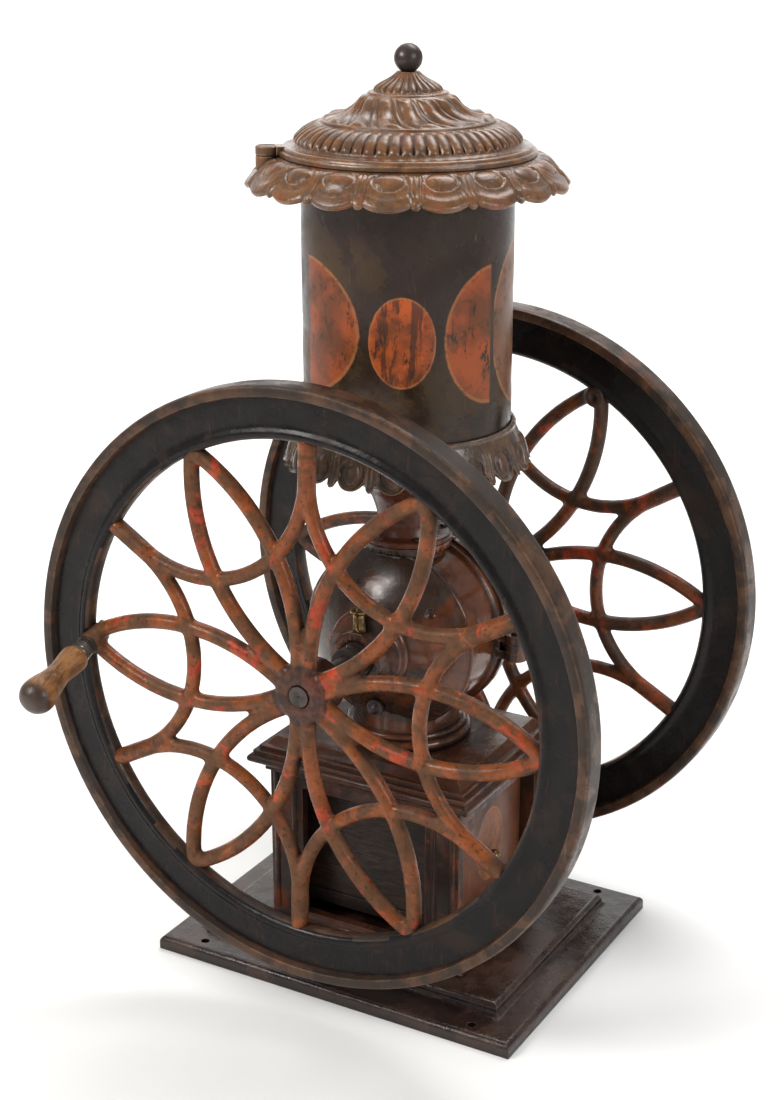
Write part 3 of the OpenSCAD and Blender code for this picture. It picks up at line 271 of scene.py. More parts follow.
def _scratches(tree: Tree, start: dict, end: dict) -> None:
    """Fine scratches that run mostly one way."""
    long = tree.add("ShaderNodeMapping", {"Vector": start["Place"], "Rotation": (0.4, 0.2, 0.3), "Scale": (1, 1, 0.06)})
    lines = tree.noise(long.outputs[0], 380, 3, 0.7)
    tree.feed(end["Mask"], tree.between(lines, 0.63, 0.7))


def _wood_grain(tree: Tree, start: dict, end: dict) -> None:
    """Growth rings and pores of wood whose grain runs along its Z."""
    along = tree.add("ShaderNodeMapping", {"Vector": start["Place"], "Scale": (1, 1, 0.08)}).outputs[0]
    rings = tree.noise(along, start["Scale"], 4, 0.6, 1.2)
    wave = tree.math("SINE", tree.math("MULTIPLY", rings, 55))
    tree.feed(end["Rings"], tree.between(wave, -1, 1))
    pores = tree.noise(along, tree.math("MULTIPLY", start["Scale"], 12), 3, 0.7)
    tree.feed(end["Pores"], tree.between(pores, 0.52, 0.66))


EDGES = Group("edge_wear", {"Place": (VECTOR, None), "Radius": (FLOAT, 0.002), "Amount": (FLOAT, 1.0)}, {"Mask": FLOAT}, _edges)
# Painted shade: a mask from ambient occlusion that darkens corners and creases.
CORNER_SHADE = Group("painted_shade_in_corners", {"Reach": (FLOAT, 0.012), "Amount": (FLOAT, 1.0)}, {"Mask": FLOAT}, _painted_corner_shade)
PATCHES = Group(
    "ragged_patches",
    {"Place": (VECTOR, None), "Scale": (FLOAT, 18.0), "Share": (FLOAT, 0.5)},
    {"Patch": FLOAT, "Fleck": FLOAT, "Cloud": FLOAT},
    _patches,
)
CAST_SKIN = Group("cast_skin", {"Place": (VECTOR, None), "Grain": (FLOAT, 0.25), "Pits": (FLOAT, 0.15)}, {"Height": FLOAT}, _cast_skin)
SCRATCHES = Group("scratches", {"Place": (VECTOR, None)}, {"Mask": FLOAT}, _scratches)
WOOD_GRAIN = Group("wood_grain", {"Place": (VECTOR, None), "Scale": (FLOAT, 26.0)}, {"Rings": FLOAT, "Pores": FLOAT}, _wood_grain)


# Finishes


def start_material(name: str) -> tuple[bpy.types.Material, Tree, bpy.types.Node, bpy.types.NodeSocket]:
    """Makes an empty material.

    Args:
        name: The material's name.

    Returns:
        The material, its tree, its shader and its Object coordinates.
    """
    material = bpy.data.materials.new(name)
    material.use_nodes = True
    tree = Tree(material.node_tree)
    shader = tree.add("ShaderNodeBsdfPrincipled")
    tree.add("ShaderNodeOutputMaterial", {"Surface": shader.outputs[0]})
    return material, tree, shader, tree.add("ShaderNodeTexCoord").outputs["Object"]


def rounded_bump(tree: Tree, shader: bpy.types.Node, height: object, strength: float, depth: float, soften: float) -> None:
    """Gives a shader a bumped normal whose sharp edges look rounded.

    Args:
        tree: The material's tree.
        shader: The shader to feed.
        height: Height of the bump, from 0 to about 1.
        strength: Strength of the bump.
        depth: Depth of the bump in metres.
        soften: Radius of the rounded edges in metres.
    """
    bump = tree.add("ShaderNodeBump", {"Strength": strength, "Distance": depth, "Height": height})
    if soften:
        edge = tree.add("ShaderNodeBevel", {"Radius": soften}, samples=4)
        tree.feed(bump.inputs["Normal"], edge.outputs[0])
    tree.feed(shader.inputs["Normal"], bump.outputs[0])


@dataclass(frozen=True)
class OldEnamel:
    """Worn enamel on cast iron, rubbed at the edges, with painted shade darkening its corners."""

    name: str
    paint: Tone
    second: Tone
    worn: Tone = tone(104, 66, 44)
    # The grime tone colours the dark flecks and also the painted shade in corners.
    grime_and_shade: Tone = tone(24, 17, 13)
    share: float = 0.5
    scale: float = 18.0
    edge: float = 0.9
    edge_radius: float = 0.0022
    # Strength of the painted shade in corners.
    corner_shade_amount: float = 0.85
    reach: float = 0.014
    smooth: float = 0.34
    matt: float = 0.6
    skin: float = 0.5
    grain: float = 0.25
    pits: float = 0.15
    soften: float = 0.0012
    blush: Tone = tone(160, 62, 34)
    blushed: float = 0.0
    flecked: float = 0.45
    shine: float = 0.32

    def colours(self, tree: Tree, place: bpy.types.NodeSocket) -> tuple[bpy.types.NodeSocket, bpy.types.NodeSocket]:
        """Mixes the paint's two tones.

        Args:
            tree: The material's tree.
            place: Coordinates to read.

        Returns:
            The colour, and a mask of the second tone.
        """
        ragged = PATCHES.place(tree, Place=place, Scale=self.scale, Share=self.share)
        base = tree.blend(ragged["Patch"], self.paint, self.second)
        shade = tree.between(ragged["Cloud"], 0.3, 0.7, 0.78, 1.2)
        if self.blushed:
            warm = tree.between(tree.noise(place, self.scale * 0.8, 5, 0.66, 0.5), 0.56, 0.66)
            base = tree.blend(tree.math("MULTIPLY", warm, self.blushed), base, self.blush)
        tinted = tree.add("ShaderNodeVectorMath", {0: base, 3: shade}, operation="SCALE").outputs[0]
        flecked = tree.blend(tree.math("MULTIPLY", ragged["Fleck"], self.flecked), tinted, self.grime_and_shade)
        return flecked, ragged["Patch"]

    def material(self) -> bpy.types.Material:
        """Builds the material."""
        made, tree, shader, place = start_material(self.name)
        colour, second = self.colours(tree, place)
        bare = EDGES.place(tree, Place=place, Radius=self.edge_radius, Amount=self.edge)["Mask"]
        # Painted shade: corners that hide a near sky are darkened towards the grime tone.
        corner_shade = CORNER_SHADE.place(tree, Reach=self.reach, Amount=self.corner_shade_amount)["Mask"]
        lines = SCRATCHES.place(tree, Place=place)["Mask"]
        colour = tree.blend(bare, colour, self.worn)
        colour = tree.blend(tree.math("MULTIPLY", lines, 0.22), colour, self.worn)
        # Painted shade in corners, mixed in over the paint.
        colour = tree.blend(corner_shade, colour, self.grime_and_shade)
        tree.feed(shader.inputs["Base Color"], colour)
        dull = tree.math("ADD", tree.math("MULTIPLY", second, 0.5), tree.math("ADD", bare, corner_shade), clamp=True)
        cloud = tree.noise(place, 30, 4)
        rough = tree.between(dull, 0, 1, self.smooth, self.matt)
        tree.feed(shader.inputs["Roughness"], tree.math("ADD", rough, tree.between(cloud, 0.3, 0.7, -0.07, 0.1), clamp=True))
        shader.inputs["Specular IOR Level"].default_value = self.shine
        height = CAST_SKIN.place(tree, Place=place, Grain=self.grain, Pits=self.pits)["Height"]
        rounded_bump(tree, shader, height, self.skin, 0.0008, self.soften)
        return made


@dataclass(frozen=True)
class WheelPaint(OldEnamel):
    """Enamel of a wheel's tracery, worn to dark iron round the shaft's end."""

    hub: Tone = tone(44, 31, 27)
    hub_rust: Tone = tone(82, 50, 38)
    hub_radius: float = 0.0312
    axle: float = AXLE

    def colours(self, tree: Tree, place: bpy.types.NodeSocket) -> tuple[bpy.types.NodeSocket, bpy.types.NodeSocket]:
        """Adds the dark hub to the paint's two tones.

        Args:
            tree: The material's tree.
            place: Coordinates to read.

        Returns:
            The colour, and a mask of the second tone.
        """
        colour, second = super().colours(tree, place)
        axes = tree.add("ShaderNodeSeparateXYZ", {0: place}).outputs
        up = tree.math("SUBTRACT", axes["Z"], self.axle)
        reach = tree.math("SQRT", tree.math("ADD", tree.math("MULTIPLY", axes["X"], axes["X"]),
                                            tree.math("MULTIPLY", up, up)))
        ragged = tree.math("MULTIPLY", tree.math("SUBTRACT", tree.noise(place, 120, 4, 0.6), 0.5), 0.012)
        dark = tree.between(tree.math("ADD", reach, ragged), self.hub_radius + 0.0015, self.hub_radius - 0.001)
        mottled = tree.blend(tree.between(tree.noise(place, 150, 5, 0.7), 0.42, 0.62), self.hub, self.hub_rust)
        return tree.blend(tree.math("MULTIPLY", dark, 0.88), colour, mottled), second


@dataclass(frozen=True)
class BareMetal:
    """Old bare metal with a film of oil, stains and scratches, and painted shade in its corners."""

    name: str
    metal: Tone
    # The stain tone colours the real stains and also the painted shade in corners.
    stain: Tone
    smooth: float = 0.28
    matt: float = 0.55
    metallic: float = 0.9
    scale: float = 60.0

    def material(self) -> bpy.types.Material:
        """Builds the material."""
        made, tree, shader, place = start_material(self.name)
        ragged = PATCHES.place(tree, Place=place, Scale=self.scale, Share=0.45)
        # Painted shade: corners that hide a near sky are darkened towards the stain tone, with less metal.
        corner_shade = CORNER_SHADE.place(tree, Reach=0.006, Amount=0.8)["Mask"]
        lines = SCRATCHES.place(tree, Place=place)["Mask"]
        stain_and_corner_shade = tree.math("MAXIMUM", tree.math("MULTIPLY", ragged["Patch"], 0.75), corner_shade)
        colour = tree.blend(stain_and_corner_shade, self.metal, self.stain)
        tree.feed(shader.inputs["Base Color"], colour)
        tree.feed(shader.inputs["Metallic"], tree.between(stain_and_corner_shade, 0, 1, self.metallic, self.metallic * 0.35))
        rough = tree.between(stain_and_corner_shade, 0, 1, self.smooth, self.matt)
        tree.feed(shader.inputs["Roughness"], tree.math("ADD", rough, tree.math("MULTIPLY", lines, 0.2), clamp=True))
        rounded_bump(tree, shader, ragged["Cloud"], 0.35, 0.0003, 0.0005)
        return made


@dataclass(frozen=True)
class OldWood:
    """Wood with its grain, handled or oiled dark."""

    name: str
    light: Tone
    dark: Tone
    soiled: Tone
    along: Vector
    end_at: float = 9.0
    smooth: float = 0.38

    def material(self) -> bpy.types.Material:
        """Builds the material, with its grain turned along the given direction."""
        made, tree, shader, place = start_material(self.name)
        turn = self.along.to_track_quat("Z", "Y").inverted().to_euler()
        grained = tree.add("ShaderNodeMapping", {"Vector": place, "Rotation": tuple(turn)}).outputs[0]
        wood = WOOD_GRAIN.place(tree, Place=grained, Scale=60.0)
        colour = tree.blend(wood["Rings"], self.light, self.dark)
        colour = tree.blend(tree.math("MULTIPLY", wood["Pores"], 0.5), colour, self.soiled)
        stain = tree.between(tree.noise(place, 45, 4, 0.6), 0.46, 0.62)
        colour = tree.blend(tree.math("MULTIPLY", stain, 0.55), colour, self.soiled)
        reach = tree.add("ShaderNodeVectorMath", {0: place, 1: tuple(self.along)}, operation="DOT_PRODUCT").outputs["Value"]
        tip = tree.between(tree.math("ADD", reach, tree.math("MULTIPLY", tree.noise(place, 90, 3), 0.012)), self.end_at, self.end_at + 0.012)
        colour = tree.blend(tip, colour, self.soiled)
        tree.feed(shader.inputs["Base Color"], colour)
        tree.feed(shader.inputs["Roughness"], tree.between(wood["Pores"], 0, 1, self.smooth, self.smooth + 0.22))
        height = tree.math("ADD", tree.math("MULTIPLY", wood["Rings"], 0.4), wood["Pores"])
        rounded_bump(tree, shader, height, 0.35, 0.0004, 0)
        return made


@dataclass(frozen=True)
class Oval:
    """A worn painted oval on an upright face, placed by bearing and height or by Y and Z."""

    across: float
    height: float
    half_across: float
    half_height: float
    cut: float = 99.0
    start: float = -99.0
    paint: Tone = tone(184, 86, 38)
    faded: Tone = tone(110, 60, 34)
    banded: float = 0.0


@dataclass(frozen=True)
class PaintedOvals(OldEnamel):
    """Enamel that carries worn ovals of an older, brighter paint."""

    ovals: tuple[Oval, ...] = ()
    rim_tone: Tone = tone(160, 108, 68)
    veil: Tone = tone(60, 43, 45)
    scored: Tone = tone(150, 132, 92)
    round_radius: float = 0.0

    def inside(self, tree: Tree, oval: Oval, across: bpy.types.NodeSocket, up: bpy.types.NodeSocket,
               ragged: bpy.types.NodeSocket) -> tuple[bpy.types.NodeSocket, bpy.types.NodeSocket]:
        """Masks of one oval.

        Args:
            tree: The material's tree.
            oval: The oval.
            across: Distance round or along the face.
            up: Height.
            ragged: Noise that frays the oval's edge.

        Returns:
            A mask of the whole oval, and one of its thin light border.
        """
        dx = tree.math("DIVIDE", tree.math("SUBTRACT", across, oval.across), oval.half_across)
        dz = tree.math("DIVIDE", tree.math("SUBTRACT", up, oval.height), oval.half_height)
        far = tree.math("ADD", tree.math("MULTIPLY", dx, dx), tree.math("MULTIPLY", dz, dz))
        far = tree.math("ADD", far, tree.math("MULTIPLY", ragged, 0.10))
        kept = tree.math("MULTIPLY", tree.between(across, oval.cut + 0.001, oval.cut - 0.001),
                         tree.between(across, oval.start - 0.001, oval.start + 0.001))
        whole = tree.math("MULTIPLY", tree.between(far, 1.07, 1.02), kept)
        border = tree.math("MULTIPLY", whole, tree.between(far, 0.93, 0.98))
        return whole, border

    def colours(self, tree: Tree, place: bpy.types.NodeSocket) -> tuple[bpy.types.NodeSocket, bpy.types.NodeSocket]:
        """Adds the ovals to the paint's two tones.

        Args:
            tree: The material's tree.
            place: Coordinates to read.

        Returns:
            The colour, and a mask of the second tone.
        """
        colour, second = super().colours(tree, place)
        axes = tree.add("ShaderNodeSeparateXYZ", {0: place}).outputs
        across = axes["Y"]
        if self.round_radius:
            across = tree.math("MULTIPLY", tree.math("ARCTAN2", axes["Y"], axes["X"]), self.round_radius)
            hazy = tree.between(tree.noise(place, 11, 3), 0.42, 0.6)
            high = tree.between(axes["Z"], 0.62, 0.80)
            colour = tree.blend(tree.math("MULTIPLY", tree.math("MULTIPLY", hazy, high), 0.7), colour, self.veil)
            fall = tree.add("ShaderNodeMapping", {"Vector": place, "Scale": (1, 1, 0.12)}).outputs[0]
            scored = tree.math("MULTIPLY", tree.between(tree.noise(fall, 330, 3, 0.7), 0.60, 0.68),
                               tree.between(tree.noise(place, 24, 3, 0.6), 0.56, 0.66))
            scored = tree.math("MULTIPLY", scored, tree.between(axes["Z"], 0.73, 0.81))
            colour = tree.blend(tree.math("MULTIPLY", scored, 0.75), colour, self.scored)
        ragged = tree.noise(place, 110, 6, 0.7)
        rubbed = tree.between(tree.noise(place, 60, 7, 0.74, 0.6), 0.60, 0.50)
        upright = tree.add("ShaderNodeMapping", {"Vector": place, "Scale": (1, 1, 0.14)}).outputs[0]
        bands = tree.between(tree.noise(upright, 78, 6, 0.68, 0.5), 0.50, 0.57)
        stroke = tree.add("ShaderNodeMapping", {"Vector": place, "Scale": (1, 1, 0.35), "Rotation": (0.5, 0, 0)}).outputs[0]
        lost = tree.between(tree.noise(stroke, 70, 5, 0.75), 0.64, 0.57)
        cloud = tree.between(tree.noise(place, 26, 4), 0.36, 0.64)
        any_oval: object = 0.0
        for oval in self.ovals:
            whole, border = self.inside(tree, oval, across, axes["Z"], ragged)
            left = tree.math("MULTIPLY", whole, tree.math("MULTIPLY", tree.between(rubbed, 0, 1, 0.55, 1), lost))
            left = tree.math("MULTIPLY", left, tree.between(bands, 0, 1, 1, 1 - oval.banded))
            colour = tree.blend(left, colour, tree.blend(cloud, oval.paint, oval.faded))
            colour = tree.blend(tree.math("MULTIPLY", border, tree.between(rubbed, 0, 1, 0.15, 0.6)), colour, self.rim_tone)
            any_oval = tree.math("MAXIMUM", any_oval, whole)
        return colour, tree.math("MAXIMUM", second, any_oval)


class Finishes:
    """Builds each finish once and hands it out by slot."""

    def __init__(self) -> None:
        """Makes every finish of the mill."""
        rust, dark = tone(118, 58, 34), tone(30, 22, 18)
        disc = math.radians(1) * 0.104
        enamels = {
            Slot.BLACK: OldEnamel("base_enamel", tone(42, 29, 25), tone(60, 41, 33), tone(104, 76, 58), share=0.45,
                                  scale=14, smooth=0.17, matt=0.38, skin=0.95, grain=0.4, shine=0.5),
            Slot.BOX: OldEnamel("box_enamel", tone(78, 42, 25), tone(44, 29, 22), tone(136, 74, 40), share=0.55,
                                scale=18, smooth=0.26, matt=0.5, blush=tone(132, 66, 34), blushed=0.6),
            Slot.CORNICE: OldEnamel("cornice_enamel", tone(74, 43, 29), tone(50, 33, 26), tone(150, 92, 58),
                                    share=0.5, scale=17, smooth=0.22, blush=tone(132, 68, 40), blushed=0.3),
            Slot.CASE: OldEnamel("case_enamel", tone(94, 52, 30), tone(52, 37, 29), tone(150, 88, 52), share=0.5,
                                 scale=12, smooth=0.14, matt=0.34, skin=0.45, shine=0.5,
                                 blush=tone(136, 66, 36), blushed=0.4),
            Slot.CRANK_WHEEL: WheelPaint("crank_wheel_enamel", tone(128, 69, 35), tone(94, 59, 34), tone(160, 92, 54),
                                         tone(30, 20, 14), share=0.55, scale=30, smooth=0.2, skin=0.95, grain=0.5,
                                         corner_shade_amount=1.0, reach=0.022, blush=tone(178, 62, 34), blushed=0.85,
                                         flecked=0.7, shine=0.26, soften=0.0022),
            Slot.PLAIN_WHEEL: WheelPaint("plain_wheel_enamel", tone(104, 56, 30), tone(66, 43, 28), tone(132, 80, 48),
                                         tone(28, 19, 14), share=0.55, scale=28, smooth=0.2, skin=0.95, grain=0.5,
                                         corner_shade_amount=1.0, reach=0.022, blush=tone(150, 56, 32), blushed=0.8,
                                         flecked=0.7, shine=0.3, soften=0.0022),
            Slot.COPPER: OldEnamel("crown_enamel", tone(116, 78, 48), tone(96, 66, 43), tone(186, 146, 112),
                                   tone(32, 21, 14), share=0.5, scale=40, edge=1.0, reach=0.008, corner_shade_amount=1.0,
                                   smooth=0.15, matt=0.36, skin=0.8, grain=0.5, pits=0.3, blushed=0.28,
                                   flecked=0.3, shine=0.6),
            Slot.THROAT: OldEnamel("throat_enamel", tone(84, 45, 31), tone(48, 33, 27), tone(124, 76, 50), scale=16,
                                   smooth=0.24),
            Slot.SHEET: PaintedOvals(
                "shell_varnish", tone(50, 38, 29), tone(66, 49, 31), tone(122, 102, 78), share=0.4, scale=9,
                edge=0.5, smooth=0.24, matt=0.46, skin=0.22, grain=0.1, pits=0.02, corner_shade_amount=0.6, round_radius=0.104,
                ovals=(
                    Oval(22 * disc, 0.687, 0.058, 0.082, start=-8 * disc, paint=tone(122, 80, 56),
                         faded=tone(104, 70, 50)),
                    Oval(-126.6 * disc, 0.690, 0.0719, 0.066, start=-126.6 * disc, paint=tone(158, 76, 36)),
                    Oval(-63.7 * disc, 0.683, 0.0327, 0.044, banded=0.75),
                    Oval(-11.1 * disc, 0.684, 0.0546, 0.067, -11.1 * disc, paint=tone(158, 76, 36)),
                ),
            ),
            Slot.PANEL: PaintedOvals(
                "panel_paint", tone(96, 56, 35), tone(76, 47, 32), tone(150, 104, 66), share=0.4, scale=15,
                smooth=0.36, skin=0.2, pits=0.02, rim_tone=tone(150, 104, 70),
                ovals=(Oval(0.010, 0.125, 0.030, 0.042, paint=tone(142, 88, 52), faded=tone(116, 70, 44)),),
            ),
        }
        others = {
            Slot.STEEL: BareMetal("oiled_steel", tone(70, 60, 55), tone(38, 29, 25), metallic=0.4),
            Slot.IRON: BareMetal("dark_iron", tone(70, 58, 55), tone(36, 27, 24), metallic=0.45, smooth=0.3, scale=80),
            Slot.BRONZE: BareMetal("bearing_bronze", tone(170, 130, 76), tone(90, 62, 38)),
            Slot.BRASS: BareMetal("old_brass", tone(140, 112, 66), tone(66, 50, 30), smooth=0.24, scale=110),
            Slot.FERRULE: BareMetal("ferrule_steel", tone(124, 120, 110), tone(58, 48, 40), smooth=0.34),
            Slot.TRAY: OldWood("tray_wood", tone(66, 46, 34), tone(44, 30, 23), tone(28, 20, 16), Vector((1, 0, 0))),
        }
        self.rim_black = OldEnamel("rim_black", tone(24, 21, 21), tone(38, 29, 25), rust, share=0.3, scale=18,
                                   smooth=0.24, matt=0.42, skin=0.7, edge=0.8, shine=0.2).material()
        self.rim_brown = OldEnamel("rim_brown", tone(78, 54, 38), tone(50, 38, 30), tone(146, 108, 78), share=0.55,
                                   scale=26, smooth=0.3, skin=0.7, blush=tone(120, 66, 40), blushed=0.25).material()
        self.collar_brown = OldEnamel("collar_enamel", tone(90, 69, 53), tone(68, 52, 41), tone(158, 128, 100),
                                      tone(28, 20, 15), share=0.5, scale=38, edge=1.0, reach=0.008, corner_shade_amount=1.0,
                                      smooth=0.2, matt=0.4, skin=0.8, grain=0.5, blushed=0.2, shine=0.5).material()
        self.hub_dark = OldEnamel("hub_dark", tone(62, 40, 31), dark, rust, share=0.5, scale=30, smooth=0.3).material()
        self.by_slot = {slot: finish.material() for slot, finish in {**enamels, **others}.items()}

    def of(self, slot: Slot) -> bpy.types.Material:
        """The material of a slot."""
        return self.by_slot[slot]


# Mesh helpers


def make(name: str, points: Iterable[Sequence[float]], faces: Iterable[Sequence[int]]) -> bpy.types.Object:
    """Makes an object from points and faces and puts it in the scene."""
    mesh = bpy.data.meshes.new(name)
    mesh.from_pydata([tuple(p) for p in points], [], [tuple(f) for f in faces])
    made = bpy.data.objects.new(name, mesh)
    bpy.context.scene.collection.objects.link(made)
    return made


def box_of(low: Sequence[float], high: Sequence[float]) -> tuple[list[Sequence[float]], list[Sequence[int]]]:
    """Corners and faces of a box between two opposite corners."""
    points = [(x, y, z) for z in (low[2], high[2]) for y in (low[1], high[1]) for x in (low[0], high[0])]
    faces = [(0, 2, 3, 1), (4, 5, 7, 6), (0, 1, 5, 4), (2, 6, 7, 3), (0, 4, 6, 2), (1, 3, 7, 5)]
    return points, faces


def clean(piece: bpy.types.Object, near: float = 1e-5, angle: float = 38) -> bpy.types.Object:
    """Merges doubles, turns faces outwards and smooths all but sharp edges.

    Args:
        piece: The piece to clean.
        near: Points closer than this are merged, in metres.
        angle: Edges sharper than this stay sharp, in degrees.

    Returns:
        The piece.
    """
    work = bmesh.new()
    work.from_mesh(piece.data)
    bmesh.ops.remove_doubles(work, verts=work.verts, dist=near)
    bmesh.ops.recalc_face_normals(work, faces=work.faces)
    work.to_mesh(piece.data)
    work.free()
    piece.data.shade_smooth()
    piece.data.set_sharp_from_angle(angle=math.radians(angle))
    return piece


def swept(name: str, steps: int, section: Callable[[float], Section], place: Matrix = Matrix()) -> bpy.types.Object:
    """Turns a closed section round Z, where the section may change with the bearing.

    Args:
        name: Name of the piece.
        steps: Number of steps round.
        section: Gives the closed section as radii and heights in metres at a bearing.
        place: Where the turned shape goes.

    Returns:
        The piece.
    """
    rings = [[(r * math.cos(a), r * math.sin(a), z) for r, z in section(a)] for a in (TAU * i / steps for i in range(steps))]
    count = len(rings[0])
    points = [place @ Vector(p) for ring in rings for p in ring]
    faces = []
    for i in range(steps):
        here, there = i * count, (i + 1) % steps * count
        for k in range(count):
            after = (k + 1) % count
            faces.append((here + k, there + k, there + after, here + after))
    piece = make(name, points, faces)
    work = bmesh.new()
    work.from_mesh(piece.data)
    bmesh.ops.remove_doubles(work, verts=work.verts, dist=1e-6)
    bmesh.ops.dissolve_degenerate(work, edges=work.edges, dist=1e-7)
    work.to_mesh(piece.data)
    work.free()
    return clean(piece)


def fine(points: Sequence[tuple[float, float]], gap: float) -> Section:
    """Adds points to a line so that none are further apart than a gap.

    Args:
        points: Corners of the line, in metres.
        gap: Largest distance between two points of the result, in metres.

    Returns:
        The line with its added points.
    """
    line: Section = []
    for (r0, z0), (r1, z1) in zip(points, points[1:]):
        count = max(1, math.ceil(math.hypot(r1 - r0, z1 - z0) / gap))
        line += [(r0 + (r1 - r0) * i / count, z0 + (z1 - z0) * i / count) for i in range(count)]
    return line + [points[-1]]


def curved(points: Sequence[tuple[float, float]], count: int) -> Section:
    """Draws a smooth curve through corners.

    Args:
        points: Corners of the line, in metres.
        count: Number of steps between two corners.

    Returns:
        The points of the curve.
    """
    ends = [points[0], *points, points[-1]]
    line: Section = []
    for a, b, c, d in zip(ends, ends[1:], ends[2:], ends[3:]):
        for i in range(count):
            t = i / count
            line.append(tuple(
                0.5 * (2 * b[k] + (c[k] - a[k]) * t + (2 * a[k] - 5 * b[k] + 4 * c[k] - d[k]) * t * t
                       + (3 * b[k] - a[k] - 3 * c[k] + d[k]) * t ** 3) for k in (0, 1)))
    return line + [points[-1]]


def swell(value: float, low: float, high: float) -> float:
    """A smooth step from 0 at one value to 1 at another."""
    t = min(1.0, max(0.0, (value - low) / (high - low)))
    return t * t * (3 - 2 * t)


def ripple(place: Sequence[float], size: float, depth: float) -> float:
    """Slight unevenness of an old surface at a place, in metres."""
    return depth * noise.noise(Vector(place) / size)


def take(name: str, *nodes: str, near: float = 2e-5, angle: float = 32) -> bpy.types.Object:
    """Copies CAD nodes into one merged, smoothed mesh.

    Args:
        name: Name of the new piece.
        nodes: The CAD nodes to copy.
        near: Points closer than this are merged, in metres.
        angle: Edges sharper than this stay sharp, in degrees.

    Returns:
        The new piece.
    """
    work = bmesh.new()
    for node in nodes:
        work.from_mesh(frame["nodes"][node].data)
    mesh = bpy.data.meshes.new(name)
    work.to_mesh(mesh)
    work.free()
    piece = bpy.data.objects.new(name, mesh)
    bpy.context.scene.collection.objects.link(piece)
    mesh.materials.clear()
    work = bmesh.new()
    work.from_mesh(mesh)
    bmesh.ops.remove_doubles(work, verts=work.verts, dist=near)
    bmesh.ops.dissolve_degenerate(work, edges=work.edges, dist=1e-6)
    work.to_mesh(mesh)
    work.free()
    mesh.shade_smooth()
    mesh.set_sharp_from_angle(angle=math.radians(angle))
    return piece


def flatten(piece: bpy.types.Object) -> bpy.types.Object:
    """Turns a piece with live modifiers into a plain mesh."""
    seen = piece.evaluated_get(bpy.context.evaluated_depsgraph_get())
    mesh = bpy.data.meshes.new_from_object(seen)
    piece.modifiers.clear()
    piece.data = mesh
    return piece


def settle(piece: bpy.types.Object, body: Body, slot: Slot, material: bpy.types.Material, *nodes: str) -> bpy.types.Object:
    """Gives a piece its material and its body, and hides the nodes it stands for.

    Args:
        piece: The finished piece.
        body: The body that it rides on.
        slot: The record's slot of its finish; not used.
        material: Its material.
        nodes: The CAD nodes that it replaces.

    Returns:
        The piece.
    """
    if not piece.data.materials:
        piece.data.materials.append(material)
    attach(piece, body.value)
    if nodes:
        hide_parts(*nodes)
    LOG.info("%s: %d faces on %s", piece.name, len(piece.data.polygons), body.value)
    return piece


# Geometry nodes


class Maker:
    """A Geometry Nodes tree with named inputs, run once to make a plain mesh."""

    def __init__(self, name: str, inputs: dict[str, tuple[str, object]]) -> None:
        """Makes an empty tree.

        Args:
            name: The tree's name.
            inputs: Names of its inputs, each with a socket type and a value.
        """
        self.name, self.values = name, inputs
        self.group = bpy.data.node_groups.new(name, "GeometryNodeTree")
        self.ids = {}
        for label, (kind, _) in inputs.items():
            self.ids[label] = self.group.interface.new_socket(label, in_out="INPUT", socket_type=kind).identifier
        self.group.interface.new_socket("Geometry", in_out="OUTPUT", socket_type="NodeSocketGeometry")
        self.tree = Tree(self.group)
        self.start = self.tree.add("NodeGroupInput").outputs

    def run(self, geometry: bpy.types.NodeSocket, material: bpy.types.Material) -> bpy.types.Object:
        """Ends the tree, runs it and keeps the result as a plain mesh.

        Args:
            geometry: The tree's last geometry.
            material: The material that the tree sets.

        Returns:
            The made piece.
        """
        real = self.tree.add("GeometryNodeRealizeInstances", {0: geometry}).outputs[0]
        dressed = self.tree.add("GeometryNodeSetMaterial", {"Geometry": real, "Material": material}).outputs[0]
        self.tree.add("NodeGroupOutput", {0: dressed})
        piece = make(self.name, [], [])
        modifier = piece.modifiers.new(self.name, "NODES")
        modifier.node_group = self.group
        for label, (_, value) in self.values.items():
            modifier[self.ids[label]] = value
        return flatten(piece)


# The wheels


